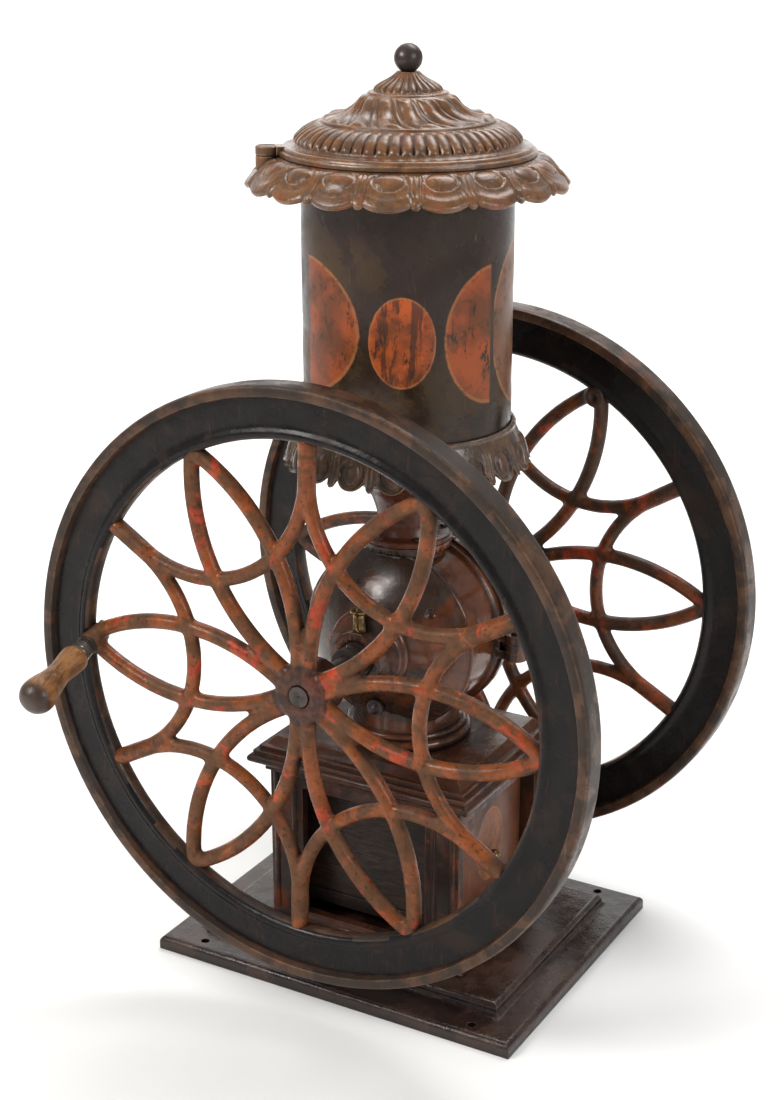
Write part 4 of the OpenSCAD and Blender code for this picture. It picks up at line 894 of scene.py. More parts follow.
@dataclass
class TraceryWheel:
    """A cast wheel: a lipped rim round six pointed petals and the scallops that bind them."""

    name: str
    node: str
    middle_y: float
    side: int
    turn: float
    slot: Slot
    radius: float = 0.305
    width: float = 0.030
    opening: float = 0.252
    petals: int = 6
    petal_bar: float = 0.008
    petal_half: float = 0.0387
    petal_root: float = 0.014
    scallop_bar: float = 0.0075
    hub_radius: float = 0.029
    hub_front: float = 0.009
    hub_length: float = 0.040
    bore: float = 0.01055

    def place(self) -> Matrix:
        """Where the wheel's own plane, with its front towards +Z, goes."""
        lift = Matrix.Translation((0, self.side * self.middle_y, AXLE))
        tilt = Matrix.Rotation(math.radians(90), 4, "X") if self.side < 0 else Matrix(
            ((1, 0, 0, 0), (0, 0, 1, 0), (0, 1, 0, 0), (0, 0, 0, 1)))
        return lift @ tilt @ Matrix.Rotation(math.radians(self.turn), 4, "Z")

    def tracery(self, material: bpy.types.Material) -> bpy.types.Object:
        """Makes the bars of the petals, scallops and stubs with a node tree.

        Args:
            material: The bars' material.

        Returns:
            The bars in the wheel's own plane.
        """
        maker = Maker(f"{self.name}_tracery", {
            "Petals": ("NodeSocketInt", self.petals),
            "Opening": (FLOAT, self.opening),
            "Root": (FLOAT, self.petal_root),
            "Petal Half Width": (FLOAT, self.petal_half),
            "Petal Bar": (FLOAT, self.petal_bar),
            "Scallop Bar": (FLOAT, self.scallop_bar),
        })
        t, s = maker.tree, maker.start
        middle = t.math("DIVIDE", t.math("ADD", s["Opening"], s["Root"]), 2.0)

        def spot(x: object, y: object = 0.0) -> bpy.types.NodeSocket:
            """A point in the wheel's plane."""
            return t.add("ShaderNodeCombineXYZ", {0: x, 1: y}).outputs[0]

        def bar(curve: bpy.types.NodeSocket, thick: object) -> bpy.types.NodeSocket:
            """A round bar along a curve."""
            round_bar = t.add("GeometryNodeCurvePrimitiveCircle", {"Resolution": 20, "Radius": thick}).outputs[0]
            return t.add("GeometryNodeCurveToMesh", {"Curve": curve, "Profile Curve": round_bar, "Fill Caps": True}).outputs[0]

        bars = []
        tip = t.math("ADD", s["Opening"], 0.004)
        for sign in (1.0, -1.0):
            arc = t.add("GeometryNodeCurveArc", {
                "Resolution": 56, "Start": spot(s["Root"]),
                "Middle": spot(middle, t.math("MULTIPLY", s["Petal Half Width"], sign)), "End": spot(tip),
            }, mode="POINTS").outputs["Curve"]
            bars.append(bar(arc, s["Petal Bar"]))
        half_step = t.math("DIVIDE", math.pi, s["Petals"])
        reach = t.math("SUBTRACT", t.math("MULTIPLY", s["Opening"], t.math("SINE", half_step)), 0.001)
        sweep = t.math("SUBTRACT", math.pi / 2 - math.radians(0.5), half_step)
        ring = t.add("GeometryNodeCurveArc", {
            "Resolution": 72, "Radius": reach, "Start Angle": t.math("SUBTRACT", math.pi, sweep),
            "Sweep Angle": t.math("MULTIPLY", sweep, 2.0),
        }, mode="RADIUS").outputs["Curve"]
        moved = t.add("GeometryNodeTransform", {"Geometry": ring, "Translation": spot(s["Opening"])}).outputs[0]
        bars.append(bar(moved, s["Scallop Bar"]))
        near = t.math("SUBTRACT", t.math("MULTIPLY", s["Opening"], t.math("COSINE", half_step)), 0.012)
        stub = t.add("GeometryNodeCurvePrimitiveLine", {"Start": spot(near), "End": spot(tip)}).outputs[0]
        stub = t.add("GeometryNodeResampleCurve", {"Curve": stub, "Count": 14}).outputs[0]
        stub_bar = bar(stub, t.math("ADD", s["Scallop Bar"], 0.0015))
        turned = t.add("ShaderNodeCombineXYZ", {2: half_step}).outputs[0]
        bars.append(t.add("GeometryNodeTransform", {"Geometry": stub_bar, "Rotation": turned}).outputs[0])
        joined = t.add("GeometryNodeJoinGeometry")
        for piece in bars:
            t.tree.links.new(piece, joined.inputs[0])
        points = t.add("GeometryNodeMeshLine", {"Count": s["Petals"], "Offset": (0.0, 0.0, 0.0)}).outputs[0]
        number = t.add("GeometryNodeInputIndex").outputs[0]
        angle = t.math("MULTIPLY", number, t.math("DIVIDE", TAU, s["Petals"]))
        spin = t.add("FunctionNodeAxisAngleToRotation", {"Axis": (0, 0, 1), "Angle": angle}).outputs[0]
        rays = t.add("GeometryNodeInstanceOnPoints", {"Points": points, "Instance": joined.outputs[0], "Rotation": spin}).outputs[0]
        return maker.run(rays, material)

    def bead_line(self, sign: int) -> Section:
        """The rounded bead round the opening, on one side."""
        r = self.opening
        return [(r, sign * 0.003), (r + 0.0008, sign * 0.0065), (r + 0.0032, sign * 0.0091), (r + 0.006, sign * 0.0100),
                (r + 0.009, sign * 0.0093), (r + 0.0112, sign * 0.0076)]

    def rim(self, finishes: Finishes) -> bpy.types.Object:
        """Turns the rim, black in its channel and brown on its bead, lip and tread.

        Args:
            finishes: The finishes.

        Returns:
            The rim in the wheel's own plane.
        """
        r, w, o = self.radius, self.width / 2, self.opening
        side = self.bead_line(1) + [(o + 0.0135, 0.0070), (o + 0.020, 0.0070), (r - 0.0125, 0.0072), (r - 0.0118, 0.0080),
                                    (r - 0.0115, w - 0.0022), (r - 0.0105, w - 0.0006), (r - 0.0088, w), (r - 0.0036, w),
                                    (r - 0.0014, w - 0.0008), (r - 0.0002, w - 0.003), (r, w - 0.006)]
        section = fine(side, 0.006)
        section = section + [(a, -b) for a, b in reversed(section)]

        def worn(bearing: float) -> Section:
            """The section at a bearing, with the unevenness of a casting."""
            deep = ripple((math.cos(bearing) * 3, math.sin(bearing) * 3, self.turn), 0.9, 0.00025)
            return [(a + deep, b) for a, b in section]

        rim = swept(f"{self.name}_rim", 288, worn)
        for made in (finishes.rim_brown, finishes.rim_black):
            rim.data.materials.append(made)
        for face in rim.data.polygons:
            reach = Vector(face.center[:2]).length
            if o + 0.002 < reach < r - 0.0119:
                face.material_index = 1
        return rim

    def hub(self) -> bpy.types.Object:
        """Turns the hub with its bore and rounded collar."""
        b, h, f, n = self.bore, self.hub_radius, self.hub_front, self.hub_length
        line = [(b, f - 0.001), (b + 0.001, f), (h - 0.009, f), (h - 0.0075, f + 0.0001), (h - 0.003, f - 0.001), (h - 0.0008, f - 0.003),
                (h, f - 0.006), (h, f - n + 0.002), (h - 0.002, f - n), (b + 0.001, f - n), (b, f - n + 0.001)]
        return swept(f"{self.name}_hub", 64, lambda bearing: fine(line + [line[0]], 0.006)[:-1])

    def build(self, finishes: Finishes) -> None:
        """Makes the wheel and puts it on the rotor.

        Args:
            finishes: The finishes.
        """
        paint = finishes.of(self.slot)
        bars = self.tracery(paint)
        hub, boss = self.hub(), self.boss()
        bars = self.melt(bars, hub, boss)
        rim = self.rim(finishes)
        for piece in (bars, rim):
            piece.data.transform(self.place())
            if self.side > 0:
                piece.data.flip_normals()
            clean(piece)
        settle(bars, Body.ROTOR, self.slot, paint, self.node)
        settle(rim, Body.ROTOR, self.slot, finishes.rim_brown, self.node)

    def boss(self) -> bpy.types.Object:
        """The boss that carries the crank grip, or the empty one of the plain wheel."""
        crank = self.side < 0
        where = math.radians(180 if crank else 60)
        sag = math.radians(18 if crank else 0)
        line = [(0.0048, 0.0125), (0.0058, 0.013), (0.0095, 0.013), (0.0112, 0.0115), (0.0115, 0.009), (0.0115, -0.009), (0.0105, -0.0115),
                (0.0085, -0.012), (0.0055, -0.012), (0.0048, -0.0115)]
        place = (Matrix.Rotation(where, 4, "Z") @ Matrix.Translation((self.opening - 0.003, 0, 0))
                 @ Matrix.Rotation(-where, 4, "Z") @ Matrix.Rotation(sag, 4, "X"))
        return swept(f"{self.name}_boss", 40, lambda bearing: fine(line + [line[0]], 0.004)[:-1], place)

    def melt(self, bars: bpy.types.Object, *others: bpy.types.Object) -> bpy.types.Object:
        """Joins bars, hub and boss into one casting with blended joints.

        Args:
            bars: The bars.
            others: The pieces that they run into.

        Returns:
            The casting.
        """
        work = bmesh.new()
        for piece in (bars, *others):
            work.from_mesh(piece.data)
        bmesh.ops.recalc_face_normals(work, faces=work.faces)
        mesh = bpy.data.meshes.new(f"{self.name}_casting")
        work.to_mesh(mesh)
        work.free()
        for piece in (bars, *others):
            bpy.data.objects.remove(piece)
        casting = bpy.data.objects.new(f"{self.name}_casting", mesh)
        bpy.context.scene.collection.objects.link(casting)
        remesh = casting.modifiers.new("one_casting", "REMESH")
        remesh.mode, remesh.voxel_size, remesh.adaptivity = "VOXEL", 0.0021, 0
        soften = casting.modifiers.new("blended_joints", "SMOOTH")
        soften.factor, soften.iterations = 0.5, 5
        flatten(casting)
        casting.data.materials.clear()
        return casting


# Hopper and lid


def lobe_edge(offset: float, middle: float, radius: float) -> float:
    """Reach of a round lobe at a bearing off its middle, or nothing past its flank."""
    inside = radius ** 2 - (middle * math.sin(offset)) ** 2
    return middle * math.cos(offset) + math.sqrt(inside) if inside > 0 else 0.0


@dataclass
class Crown:
    """The scalloped crown round the hopper's mouth, with an egg on each of its lobes."""

    lobes: int = 18
    turn: float = 12.0
    reach: float = 0.157
    lobe_radius: float = 0.043
    top: float = 0.845
    steps: int = 1080

    def edge(self, bearing: float) -> tuple[float, float]:
        """The crown's edge at a bearing.

        Args:
            bearing: The bearing in radians.

        Returns:
            The reach there, and the bearing off the lobe's middle.
        """
        step = TAU / self.lobes
        off = (bearing - math.radians(self.turn) + step / 2) % step - step / 2
        lobe = lobe_edge(off, self.reach - self.lobe_radius, self.lobe_radius)
        tongue = lobe_edge(step / 2 - abs(off), self.reach - 0.0075, 0.0055)
        return max(lobe, tongue, 0.1425), off

    def lift(self, off: float, reach: float, edge: float) -> float:
        """Height of the egg, its border and the rib of a tongue.

        Args:
            off: Bearing off the lobe's middle, in radians.
            reach: Distance from the mill's upright middle line.
            edge: Reach of the edge at that bearing.

        Returns:
            The height above the plain apron, in metres.
        """
        down = self.slant(reach)
        across, along = abs(off) * reach, down - 0.0130
        egg = (across / 0.0128) ** 2 + (along / 0.0108) ** 2
        ring = math.hypot(across, along * 1.22)
        open_top = swell(along, -0.0100, -0.0020)
        height = 0.0017 * max(0.0, 1 - egg) ** 0.5
        height -= 0.0015 * math.exp(-((ring - 0.0150) / 0.0012) ** 2) * (0.2 + 0.8 * open_top)
        height += 0.0008 * math.exp(-((ring - 0.0175) / 0.0016) ** 2)
        height += 0.0017 * math.exp(-((edge - reach - 0.0036) / 0.0032) ** 2)
        leaf = abs(self.half_step() - abs(off)) * reach
        ribs = math.exp(-(leaf / 0.0014) ** 2) + 0.8 * math.exp(-((leaf - 0.0042) / 0.0013) ** 2)
        ribs -= 0.9 * math.exp(-((leaf - 0.0076 + 0.05 * down) / 0.0011) ** 2)
        height += 0.0013 * ribs * swell(down, 0.0030, 0.0080)
        return height * swell(reach, 0.1255, 0.1295)

    @cached_property
    def profile(self) -> list[tuple[float, float, float]]:
        """Reach, drop and distance down the apron at each corner of its outline."""
        corners = [(0.1235, 0.0), (0.1262, 0.0012), (0.1350, 0.0045), (0.1390, 0.0076), (0.1425, 0.0110),
                   (0.1490, 0.0185), (0.1545, 0.0245), (0.1570, 0.0270), (0.1580, 0.0275)]
        rows, gone = [], 0.0
        for here, after in zip(corners, corners[1:]):
            rows.append((*here, gone))
            gone += math.hypot(after[0] - here[0], after[1] - here[1])
        return [*rows, (*corners[-1], gone)]

    def along_profile(self, reach: float) -> tuple[float, float]:
        """Drop below the crown's top and distance down the apron at a reach."""
        for (r0, d0, s0), (r1, d1, s1) in zip(self.profile, self.profile[1:]):
            if reach <= r1:
                share = max(0.0, (reach - r0) / (r1 - r0))
                return d0 + (d1 - d0) * share, s0 + (s1 - s0) * share
        return self.profile[-1][1:]

    def slant(self, reach: float) -> float:
        """Distance down the apron at a reach."""
        return self.along_profile(reach)[1]

    def half_step(self) -> float:
        """Half the bearing from one lobe to the next."""
        return math.pi / self.lobes

    def drop(self, reach: float) -> float:
        """Height of the plain apron at a reach, below the crown's top."""
        return -self.along_profile(reach)[0]

    def section(self, bearing: float) -> Section:
        """The crown's section at a bearing."""
        edge, off = self.edge(bearing)
        outer = [0.1235 + (edge - 0.1235) * i / 26 for i in range(27)]
        upper = [(r, self.top + self.drop(r) + self.lift(off, r, edge)) for r in outer]
        lip = [(edge + 0.0003, upper[-1][1] - 0.0018), (edge - 0.0006, upper[-1][1] - 0.0036)]
        under = [(r - 0.002, self.top + self.drop(r) - 0.0045) for r in reversed(outer[2::3])]
        ring = [(0.109, self.top - 0.0065), (0.109, self.top - 0.0295), (0.108, self.top - 0.030), (0.1045, self.top - 0.030), (0.1043, self.top - 0.029),
                (0.1043, self.top - 0.005), (0.0975, self.top - 0.005), (0.0975, self.top - 0.0005), (0.098, self.top), (0.11, self.top)]
        return [*upper, *lip, *under, *ring]

    def build(self, finishes: Finishes) -> None:
        """Makes the crown with its pivot boss.

        Args:
            finishes: The finishes.
        """
        crown = swept("crown_casting", self.steps, self.section)
        settle(crown, Body.MILL, Slot.COPPER, finishes.of(Slot.COPPER), "crown")
        line = [(0.0041, -0.0136), (0.0102, -0.0136), (0.011, -0.013), (0.011, -0.0006), (0.0104, 0.0), (0.0046, 0.0), (0.0041, -0.0006)]
        pivot = math.radians(-145)
        place = Matrix.Translation((0.135 * math.cos(pivot), 0.135 * math.sin(pivot), self.top))
        boss = swept("crown_pivot_boss", 48, lambda bearing: fine(line + [line[0]], 0.004)[:-1], place)
        settle(boss, Body.MILL, Slot.COPPER, finishes.of(Slot.COPPER), "crown")


@dataclass
class LowerCollar:
    """The collar of hanging lobes under the hopper's shell."""

    lobes: int = 18
    turn: float = 12.0
    top: float = 0.584
    bottom: float = 0.5405
    lobe_radius: float = 0.0175
    steps: int = 1080
    rows: int = 44

    @cached_property
    def outline(self) -> Section:
        """The collar's plain outline, from its top down to the lobes' ends."""
        return curved([(0.1065, 0.584), (0.1088, 0.5822), (0.1086, 0.5790), (0.1102, 0.5742), (0.1138, 0.5650),
                       (0.1170, 0.5540), (0.1200, 0.5470), (0.1240, 0.5405)], 8)

    def reach(self, height: float) -> float:
        """The plain outline's radius at a height.

        Args:
            height: The height in metres.

        Returns:
            The radius in metres.
        """
        line = self.outline
        for (r0, z0), (r1, z1) in zip(line, line[1:]):
            if height >= z1:
                return r0 + (r1 - r0) * min(1.0, (z0 - height) / max(1e-9, z0 - z1))
        return line[-1][0]

    def lower_edge(self, across: float, leaf: float) -> float:
        """Height of the scalloped edge.

        Args:
            across: Distance round from the lobe's middle.
            leaf: Distance round from the tongue's middle.

        Returns:
            The height in metres.
        """
        low = self.bottom + self.lobe_radius
        for off, middle, radius in ((across, self.lobe_radius, self.lobe_radius), (leaf, 0.0045, 0.004), (leaf, 0.014, 0.0085)):
            if off < radius:
                low = min(low, self.bottom + middle - math.sqrt(radius ** 2 - off ** 2))
        return low

    def relief(self, across: float, leaf: float, z: float, low: float) -> float:
        """Height of the egg, its furrow, the hem and the stem over the plain outline."""
        along = z - 0.556
        egg = (across / 0.0082) ** 2 + (along / 0.0118) ** 2
        ring = math.hypot(across, along * 0.93)
        height = 0.0036 * max(0.0, 1 - egg) ** 0.6
        height -= 0.0018 * math.exp(-((ring - 0.0122) / 0.0012) ** 2) * swell(z, 0.568, 0.562)
        height += 0.0010 * math.exp(-((ring - 0.0148) / 0.0012) ** 2) * swell(z, 0.566, 0.558)
        height += 0.0008 * math.exp(-((z - low - 0.0018) / 0.0014) ** 2)
        stem = math.exp(-(leaf / 0.0016) ** 2) + 0.7 * math.exp(-((leaf - 0.0042) / 0.0010) ** 2)
        return (height + 0.0015 * stem * swell(z, 0.573, 0.567)) * swell(z, 0.577, 0.571)

    def section(self, bearing: float) -> Section:
        """The collar's section at a bearing."""
        step = TAU / self.lobes
        off = (bearing - math.radians(self.turn) + step / 2) % step - step / 2
        across = abs(off) * 0.119
        leaf = step / 2 * 0.119 - across
        low = self.lower_edge(abs(off) * 0.124, step / 2 * 0.124 - abs(off) * 0.124)
        outer = []
        for i in range(self.rows + 1):
            z = self.top + (low - self.top) * i / self.rows
            outer.append((self.reach(z) + self.relief(across, leaf, z, low), z))
        foot = outer[-1]
        inner = [(foot[0] - 0.0020, foot[1] - 0.0008), (foot[0] - 0.0042, foot[1] + 0.0004)]
        levels = [low + (0.5600 - low) * i / 9 for i in range(1, 10)]
        back = [(self.reach(z) - 0.005, z) for z in levels]
        closing = [(0.1083, 0.5611), (0.1083, 0.5622), (0.1043, 0.5622), (0.1043, 0.5832), (0.1048, 0.584)]
        return [*outer, *inner, *back, *closing]

    def build(self, finishes: Finishes) -> None:
        """Makes the collar.

        Args:
            finishes: The finishes.
        """
        collar = swept("collar_casting", self.steps, self.section)
        settle(collar, Body.MILL, Slot.COPPER, finishes.collar_brown, "lower_collar")


@dataclass
class HopperShell:
    """The rolled sheet shell of the hopper, slightly dented, with its lapped seam."""

    radius: float = 0.104
    sheet: float = 0.0015
    bottom: float = 0.5622
    top: float = 0.8399
    seam: float = math.radians(118)

    def build(self, finishes: Finishes) -> None:
        """Makes the shell.

        Args:
            finishes: The finishes.
        """
        rows = 60

        def section(bearing: float) -> Section:
            """The shell's section at a bearing, with dents and the seam's lap."""
            lap = 0.0007 * swell(abs((bearing - self.seam + math.pi) % TAU - math.pi) * self.radius, 0.0062, 0.0058)
            outer, inner = [], []
            for i in range(rows + 1):
                z = self.bottom + (self.top - self.bottom) * i / rows
                mid = swell(z, 0.59, 0.63) * swell(z, 0.815, 0.79)
                dent = ripple((math.cos(bearing) * 0.1, math.sin(bearing) * 0.1, z), 0.055, 0.0005) * mid
                outer.append((self.radius - 0.0006 * mid + dent + lap * mid, z))
                inner.append((self.radius - self.sheet - 0.0006 * mid + dent, z))
            return outer + inner[::-1]

        shell = swept("hopper_sheet", 320, section)
        settle(shell, Body.MILL, Slot.SHEET, finishes.of(Slot.SHEET), "hopper_shell")


@dataclass
class Lid:
    """The cast lid: stepped flange, a band of gadroons, a swirled dome and a fluted bell."""

    base: float = 0.8453
    band: int = 56
    swirls: int = 14
    flutes: int = 24
    lean: float = 0.42
    steps: int = 672

    def outline(self) -> Section:
        """The lid's plain outline from the flange up to the ball's seat."""
        flange = [(0.1240, 0.0004), (0.1240, 0.0036), (0.1233, 0.0046), (0.1213, 0.0050), (0.1208, 0.0064), (0.1198, 0.0080),
                  (0.1180, 0.0087), (0.1130, 0.0088), (0.1112, 0.0098), (0.1099, 0.0110)]
        band = curved([(0.1097, 0.0112), (0.1086, 0.0135), (0.1061, 0.0175), (0.1020, 0.0220), (0.0960, 0.0256), (0.0900, 0.0282),
                       (0.0852, 0.0300)], 5)
        dome = curved([(0.0842, 0.0306), (0.0840, 0.0320), (0.0822, 0.0333), (0.0780, 0.0340), (0.0700, 0.0348), (0.0635, 0.0365),
                       (0.0575, 0.0395), (0.0520, 0.0436), (0.0475, 0.0490), (0.0430, 0.0535), (0.0398, 0.0557)], 5)
        bell = curved([(0.0391, 0.0562), (0.0389, 0.0574), (0.0370, 0.0584), (0.0334, 0.0588), (0.0318, 0.0610), (0.0290, 0.0636),
                       (0.0245, 0.0664), (0.0190, 0.0694), (0.0145, 0.0726), (0.0122, 0.0752), (0.0112, 0.0764)], 3)
        return [*fine(flange, 0.002), *band, *dome, *bell]

    def relief(self, bearing: float, r: float, z: float) -> float:
        """Height of the gadroons, swirls and flutes over the plain outline.

        Args:
            bearing: The bearing in radians.
            r: Distance from the lid's middle.
            z: Height over the lid's underside.

        Returns:
            The height in metres.
        """
        if 0.0118 < z < 0.0306 and r > 0.0845:
            wave = abs(math.sin(bearing * self.band / 2))
            shape = swell(z, 0.0118, 0.0140) * swell(z, 0.0303, 0.0272)
            bulb = 1 + 0.55 * math.exp(-((z - 0.0158) / 0.0030) ** 2)
            return 0.0030 * (wave ** 0.55 - 0.58) * shape * bulb
        if 0.0333 < z < 0.0558 and 0.0405 < r < 0.0825:
            climb = (0.0825 - r) / 0.042
            share = ((bearing - self.lean * (1 - climb ** 1.15)) * self.swirls / TAU) % 1
            ridge = math.sin(math.pi * share / 0.72) ** 0.75 if share < 0.72 else 0.0
            small = 0.6 * math.sin(math.pi * (share - 0.72) / 0.28) ** 0.8 if share >= 0.72 else 0.0
            shape = swell(r, 0.0828, 0.0772) * swell(z, 0.0557, 0.0515) * (0.6 + 0.5 * (r - 0.0405) / 0.042)
            return 0.0052 * (max(ridge, small) - 0.45) * shape
        if z >= 0.0588 and r < 0.0336:
            wave = abs(math.sin(bearing * self.flutes / 2))
            shape = swell(r, 0.0336, 0.0318) * swell(r, 0.0112, 0.0150)
            return 0.0026 * r / 0.031 * (wave ** 0.55 - 0.6) * shape
        return 0.0

    def build(self, finishes: Finishes) -> None:
        """Makes the lid with its pivot ear, and the ball on top.

        Args:
            finishes: The finishes.
        """
        outline = self.outline()
        slopes = []
        for (r0, z0), (r1, z1) in zip([outline[0], *outline], [*outline[1:], outline[-1]]):
            length = math.hypot(r1 - r0, z1 - z0) or 1
            slopes.append(((z1 - z0) / length, (r0 - r1) / length))
        inside = [(0.0040, 0.0764), (0.0040, 0.067), (0.013, 0.067), (0.019, 0.0615), (0.024, 0.0585), (0.0275, 0.0545),
                  (0.037, 0.0515), (0.0425, 0.0465), (0.048, 0.040), (0.0545, 0.035), (0.062, 0.0312), (0.070, 0.0293),
                  (0.080, 0.0275), (0.092, 0.0222), (0.0975, 0.018), (0.103, 0.009), (0.114, 0.0008), (0.1150, 0.0)]

        def section(bearing: float) -> Section:
            """The lid's section at a bearing."""
            outer = []
            for (r, z), (out, up) in zip(outline, slopes):
                high = self.relief(bearing, r, z)
                outer.append((r + out * high, z + up * high + self.base))
            return [*outer, *((r, z + self.base) for r, z in inside), (0.1236, self.base)]

        lid = swept("lid_casting", self.steps, section)
        settle(lid, Body.LID, Slot.COPPER, finishes.of(Slot.COPPER), "lid")
        self.ear(finishes)
        self.ball(finishes)

    def ear(self, finishes: Finishes) -> None:
        """Makes the ear that the lid swings on.

        Args:
            finishes: The finishes.
        """
        pivot = math.radians(-145)
        middle, half, top, hole, sunk = 0.135, 0.0110, 0.009, 0.00406, 0.0080
        ring = [(hole, 0.0), (half - 0.0008, 0.0), (half, 0.0008), (half, top - 0.0010), (half - 0.0010, top), (sunk + 0.0003, top),
                (sunk, top - 0.0004), (sunk, top - 0.003), (hole, top - 0.003)]
        place = Matrix.Translation((middle * math.cos(pivot), middle * math.sin(pivot), self.base))
        disc = swept("lid_ear_disc", 64, lambda bearing: fine(ring + [ring[0]], 0.003)[:-1], place)
        link = make("lid_ear_link", *box_of((0.1120, -half + 0.0004, 0.0), (middle - 0.0085, half - 0.0004, top - 0.0002)))
        link.data.transform(Matrix.Translation((0, 0, self.base)) @ Matrix.Rotation(pivot, 4, "Z"))
        bevel = link.modifiers.new("worn_edges", "BEVEL")
        bevel.width, bevel.segments, bevel.limit_method, bevel.angle_limit = 0.0009, 3, "ANGLE", math.radians(50)
        flatten(link)
        for piece in (disc, link):
            settle(piece, Body.LID, Slot.COPPER, finishes.of(Slot.COPPER), "lid")

    def ball(self, finishes: Finishes) -> None:
        """Makes the ball on top of the lid.

        Args:
            finishes: The finishes.
        """
        middle, radius, seat = self.base + 0.076 + 0.0127, 0.0137, 0.0040
        low = -math.asin(0.0127 / radius)
        arc = [(radius * math.cos(t), middle + radius * math.sin(t)) for t in (low + (math.pi / 2 - low) * i / 34 for i in range(35))]
        neck = [(seat, self.base + 0.060), (seat, self.base + 0.0762)]

        def section(bearing: float) -> Section:
            """The ball's section, slightly uneven from casting."""
            worn = ripple((math.cos(bearing), math.sin(bearing), 0), 0.7, 0.00006)
            return [(0.0, self.base + 0.060), *neck, *((r + worn * (r > 0.001), z) for r, z in arc)]

        ball = swept("lid_ball", 72, section)
        settle(ball, Body.LID, Slot.IRON, finishes.of(Slot.IRON), "finial")


@dataclass
class Throat:
    """The trumpet-shaped throat between the case and the hopper."""

    def build(self, finishes: Finishes) -> None:
        """Makes the throat.

        Args:
            finishes: The finishes.
        """
        outer = [(0.0445, 0.4580), (0.0458, 0.4588), (0.0460, 0.4630), (0.0448, 0.4642), (0.036, 0.4644)]
        sweep = curved([(0.0335, 0.4655), (0.0306, 0.4730), (0.0300, 0.4790), (0.0318, 0.4890), (0.0368, 0.5030), (0.0450, 0.5135), (0.0600, 0.5240),
                        (0.0800, 0.5380), (0.0985, 0.5490)], 8)
        rim = [(0.1072, 0.5552), (0.1080, 0.5562), (0.1080, 0.5615), (0.1074, 0.5620), (0.0990, 0.5620)]
        inner = curved([(0.0985, 0.5615), (0.0985, 0.5565), (0.0930, 0.5530), (0.0700, 0.5400), (0.0500, 0.5260), (0.0360, 0.5120), (0.0270, 0.4960), (0.0235, 0.4840), (0.0230, 0.4582)], 5)
        line = [*outer, *sweep, *rim, *inner]
        throat = swept("throat_casting", 160, lambda bearing: line)
        settle(throat, Body.MILL, Slot.THROAT, finishes.of(Slot.THROAT), "throat")


# Crank and the rest


@dataclass
class CrankGrip:
    """The turned wooden grip with its steel ferrule, on the sagging spindle."""

    turn: float = -2.0
    sag: float = 18.0
    mount: float = 0.249
    wheel_y: float = 0.202
    wood_start: float = 0.0301
    length: float = 0.084
    bore: float = 0.00455

    def place(self) -> Matrix:
        """Where the spindle's foot is, with its reach along Z."""
        plane = Matrix.Translation((0, -self.wheel_y, AXLE)) @ Matrix.Rotation(math.radians(90), 4, "X")
        return (plane @ Matrix.Rotation(math.radians(self.turn), 4, "Z") @ Matrix.Translation((-self.mount, 0, 0))
                @ Matrix.Rotation(math.radians(self.sag), 4, "X"))

    def build(self, finishes: Finishes) -> None:
        """Makes the grip and its ferrule.

        Args:
            finishes: The finishes.
        """
        s, n = self.wood_start, self.length
        outside = curved([(0.0115, s), (0.0142, s + 0.004), (0.0146, s + 0.010), (0.0134, s + 0.020), (0.0124, s + 0.031), (0.0140, s + 0.043),
                          (0.0170, s + 0.055), (0.0185, s + 0.064), (0.0176, s + 0.0725),
                          (0.0130, s + 0.0795), (0.0068, s + n - 0.0016), (0.0, s + n - 0.0010)], 6)
        bottom = s + n - 0.014

        def section(bearing: float) -> Section:
            """The grip's section, a little out of round from wear."""
            worn = 1 + 0.012 * math.sin(bearing * 2 + 0.8)
            return [(self.bore, s + 0.0006), (self.bore + 0.0008, s), *((r * worn, z) for r, z in outside), (0.0, bottom), (self.bore, bottom)]

        grip = swept("grip_wood", 72, section, self.place())
        along = (self.place().to_3x3() @ Vector((0, 0, 1))).normalized()
        tip = along.dot(self.place() @ Vector((0, 0, s + n)))
        wood = OldWood("grip_hardwood", tone(158, 110, 66), tone(126, 82, 48), tone(58, 38, 28), along, end_at=tip - 0.016, smooth=0.33)
        settle(grip, Body.GRIP, Slot.GRIP, wood.material(), "crank_grip")
        f = s - 0.012
        line = [(self.bore, f + 0.0004), (0.0092, f), (0.0099, f + 0.0006), (0.0106, f + 0.004), (0.0109, f + 0.0064), (0.0106, f + 0.0072), (0.0110, f + 0.0080),
                (0.0110, f + 0.0112), (0.0105, f + 0.012), (self.bore, f + 0.0118)]
        ferrule = swept("grip_ferrule_ring", 64, lambda bearing: fine(line + [line[0]], 0.003)[:-1], self.place())
        settle(ferrule, Body.GRIP, Slot.FERRULE, finishes.of(Slot.FERRULE), "grip_ferrule")


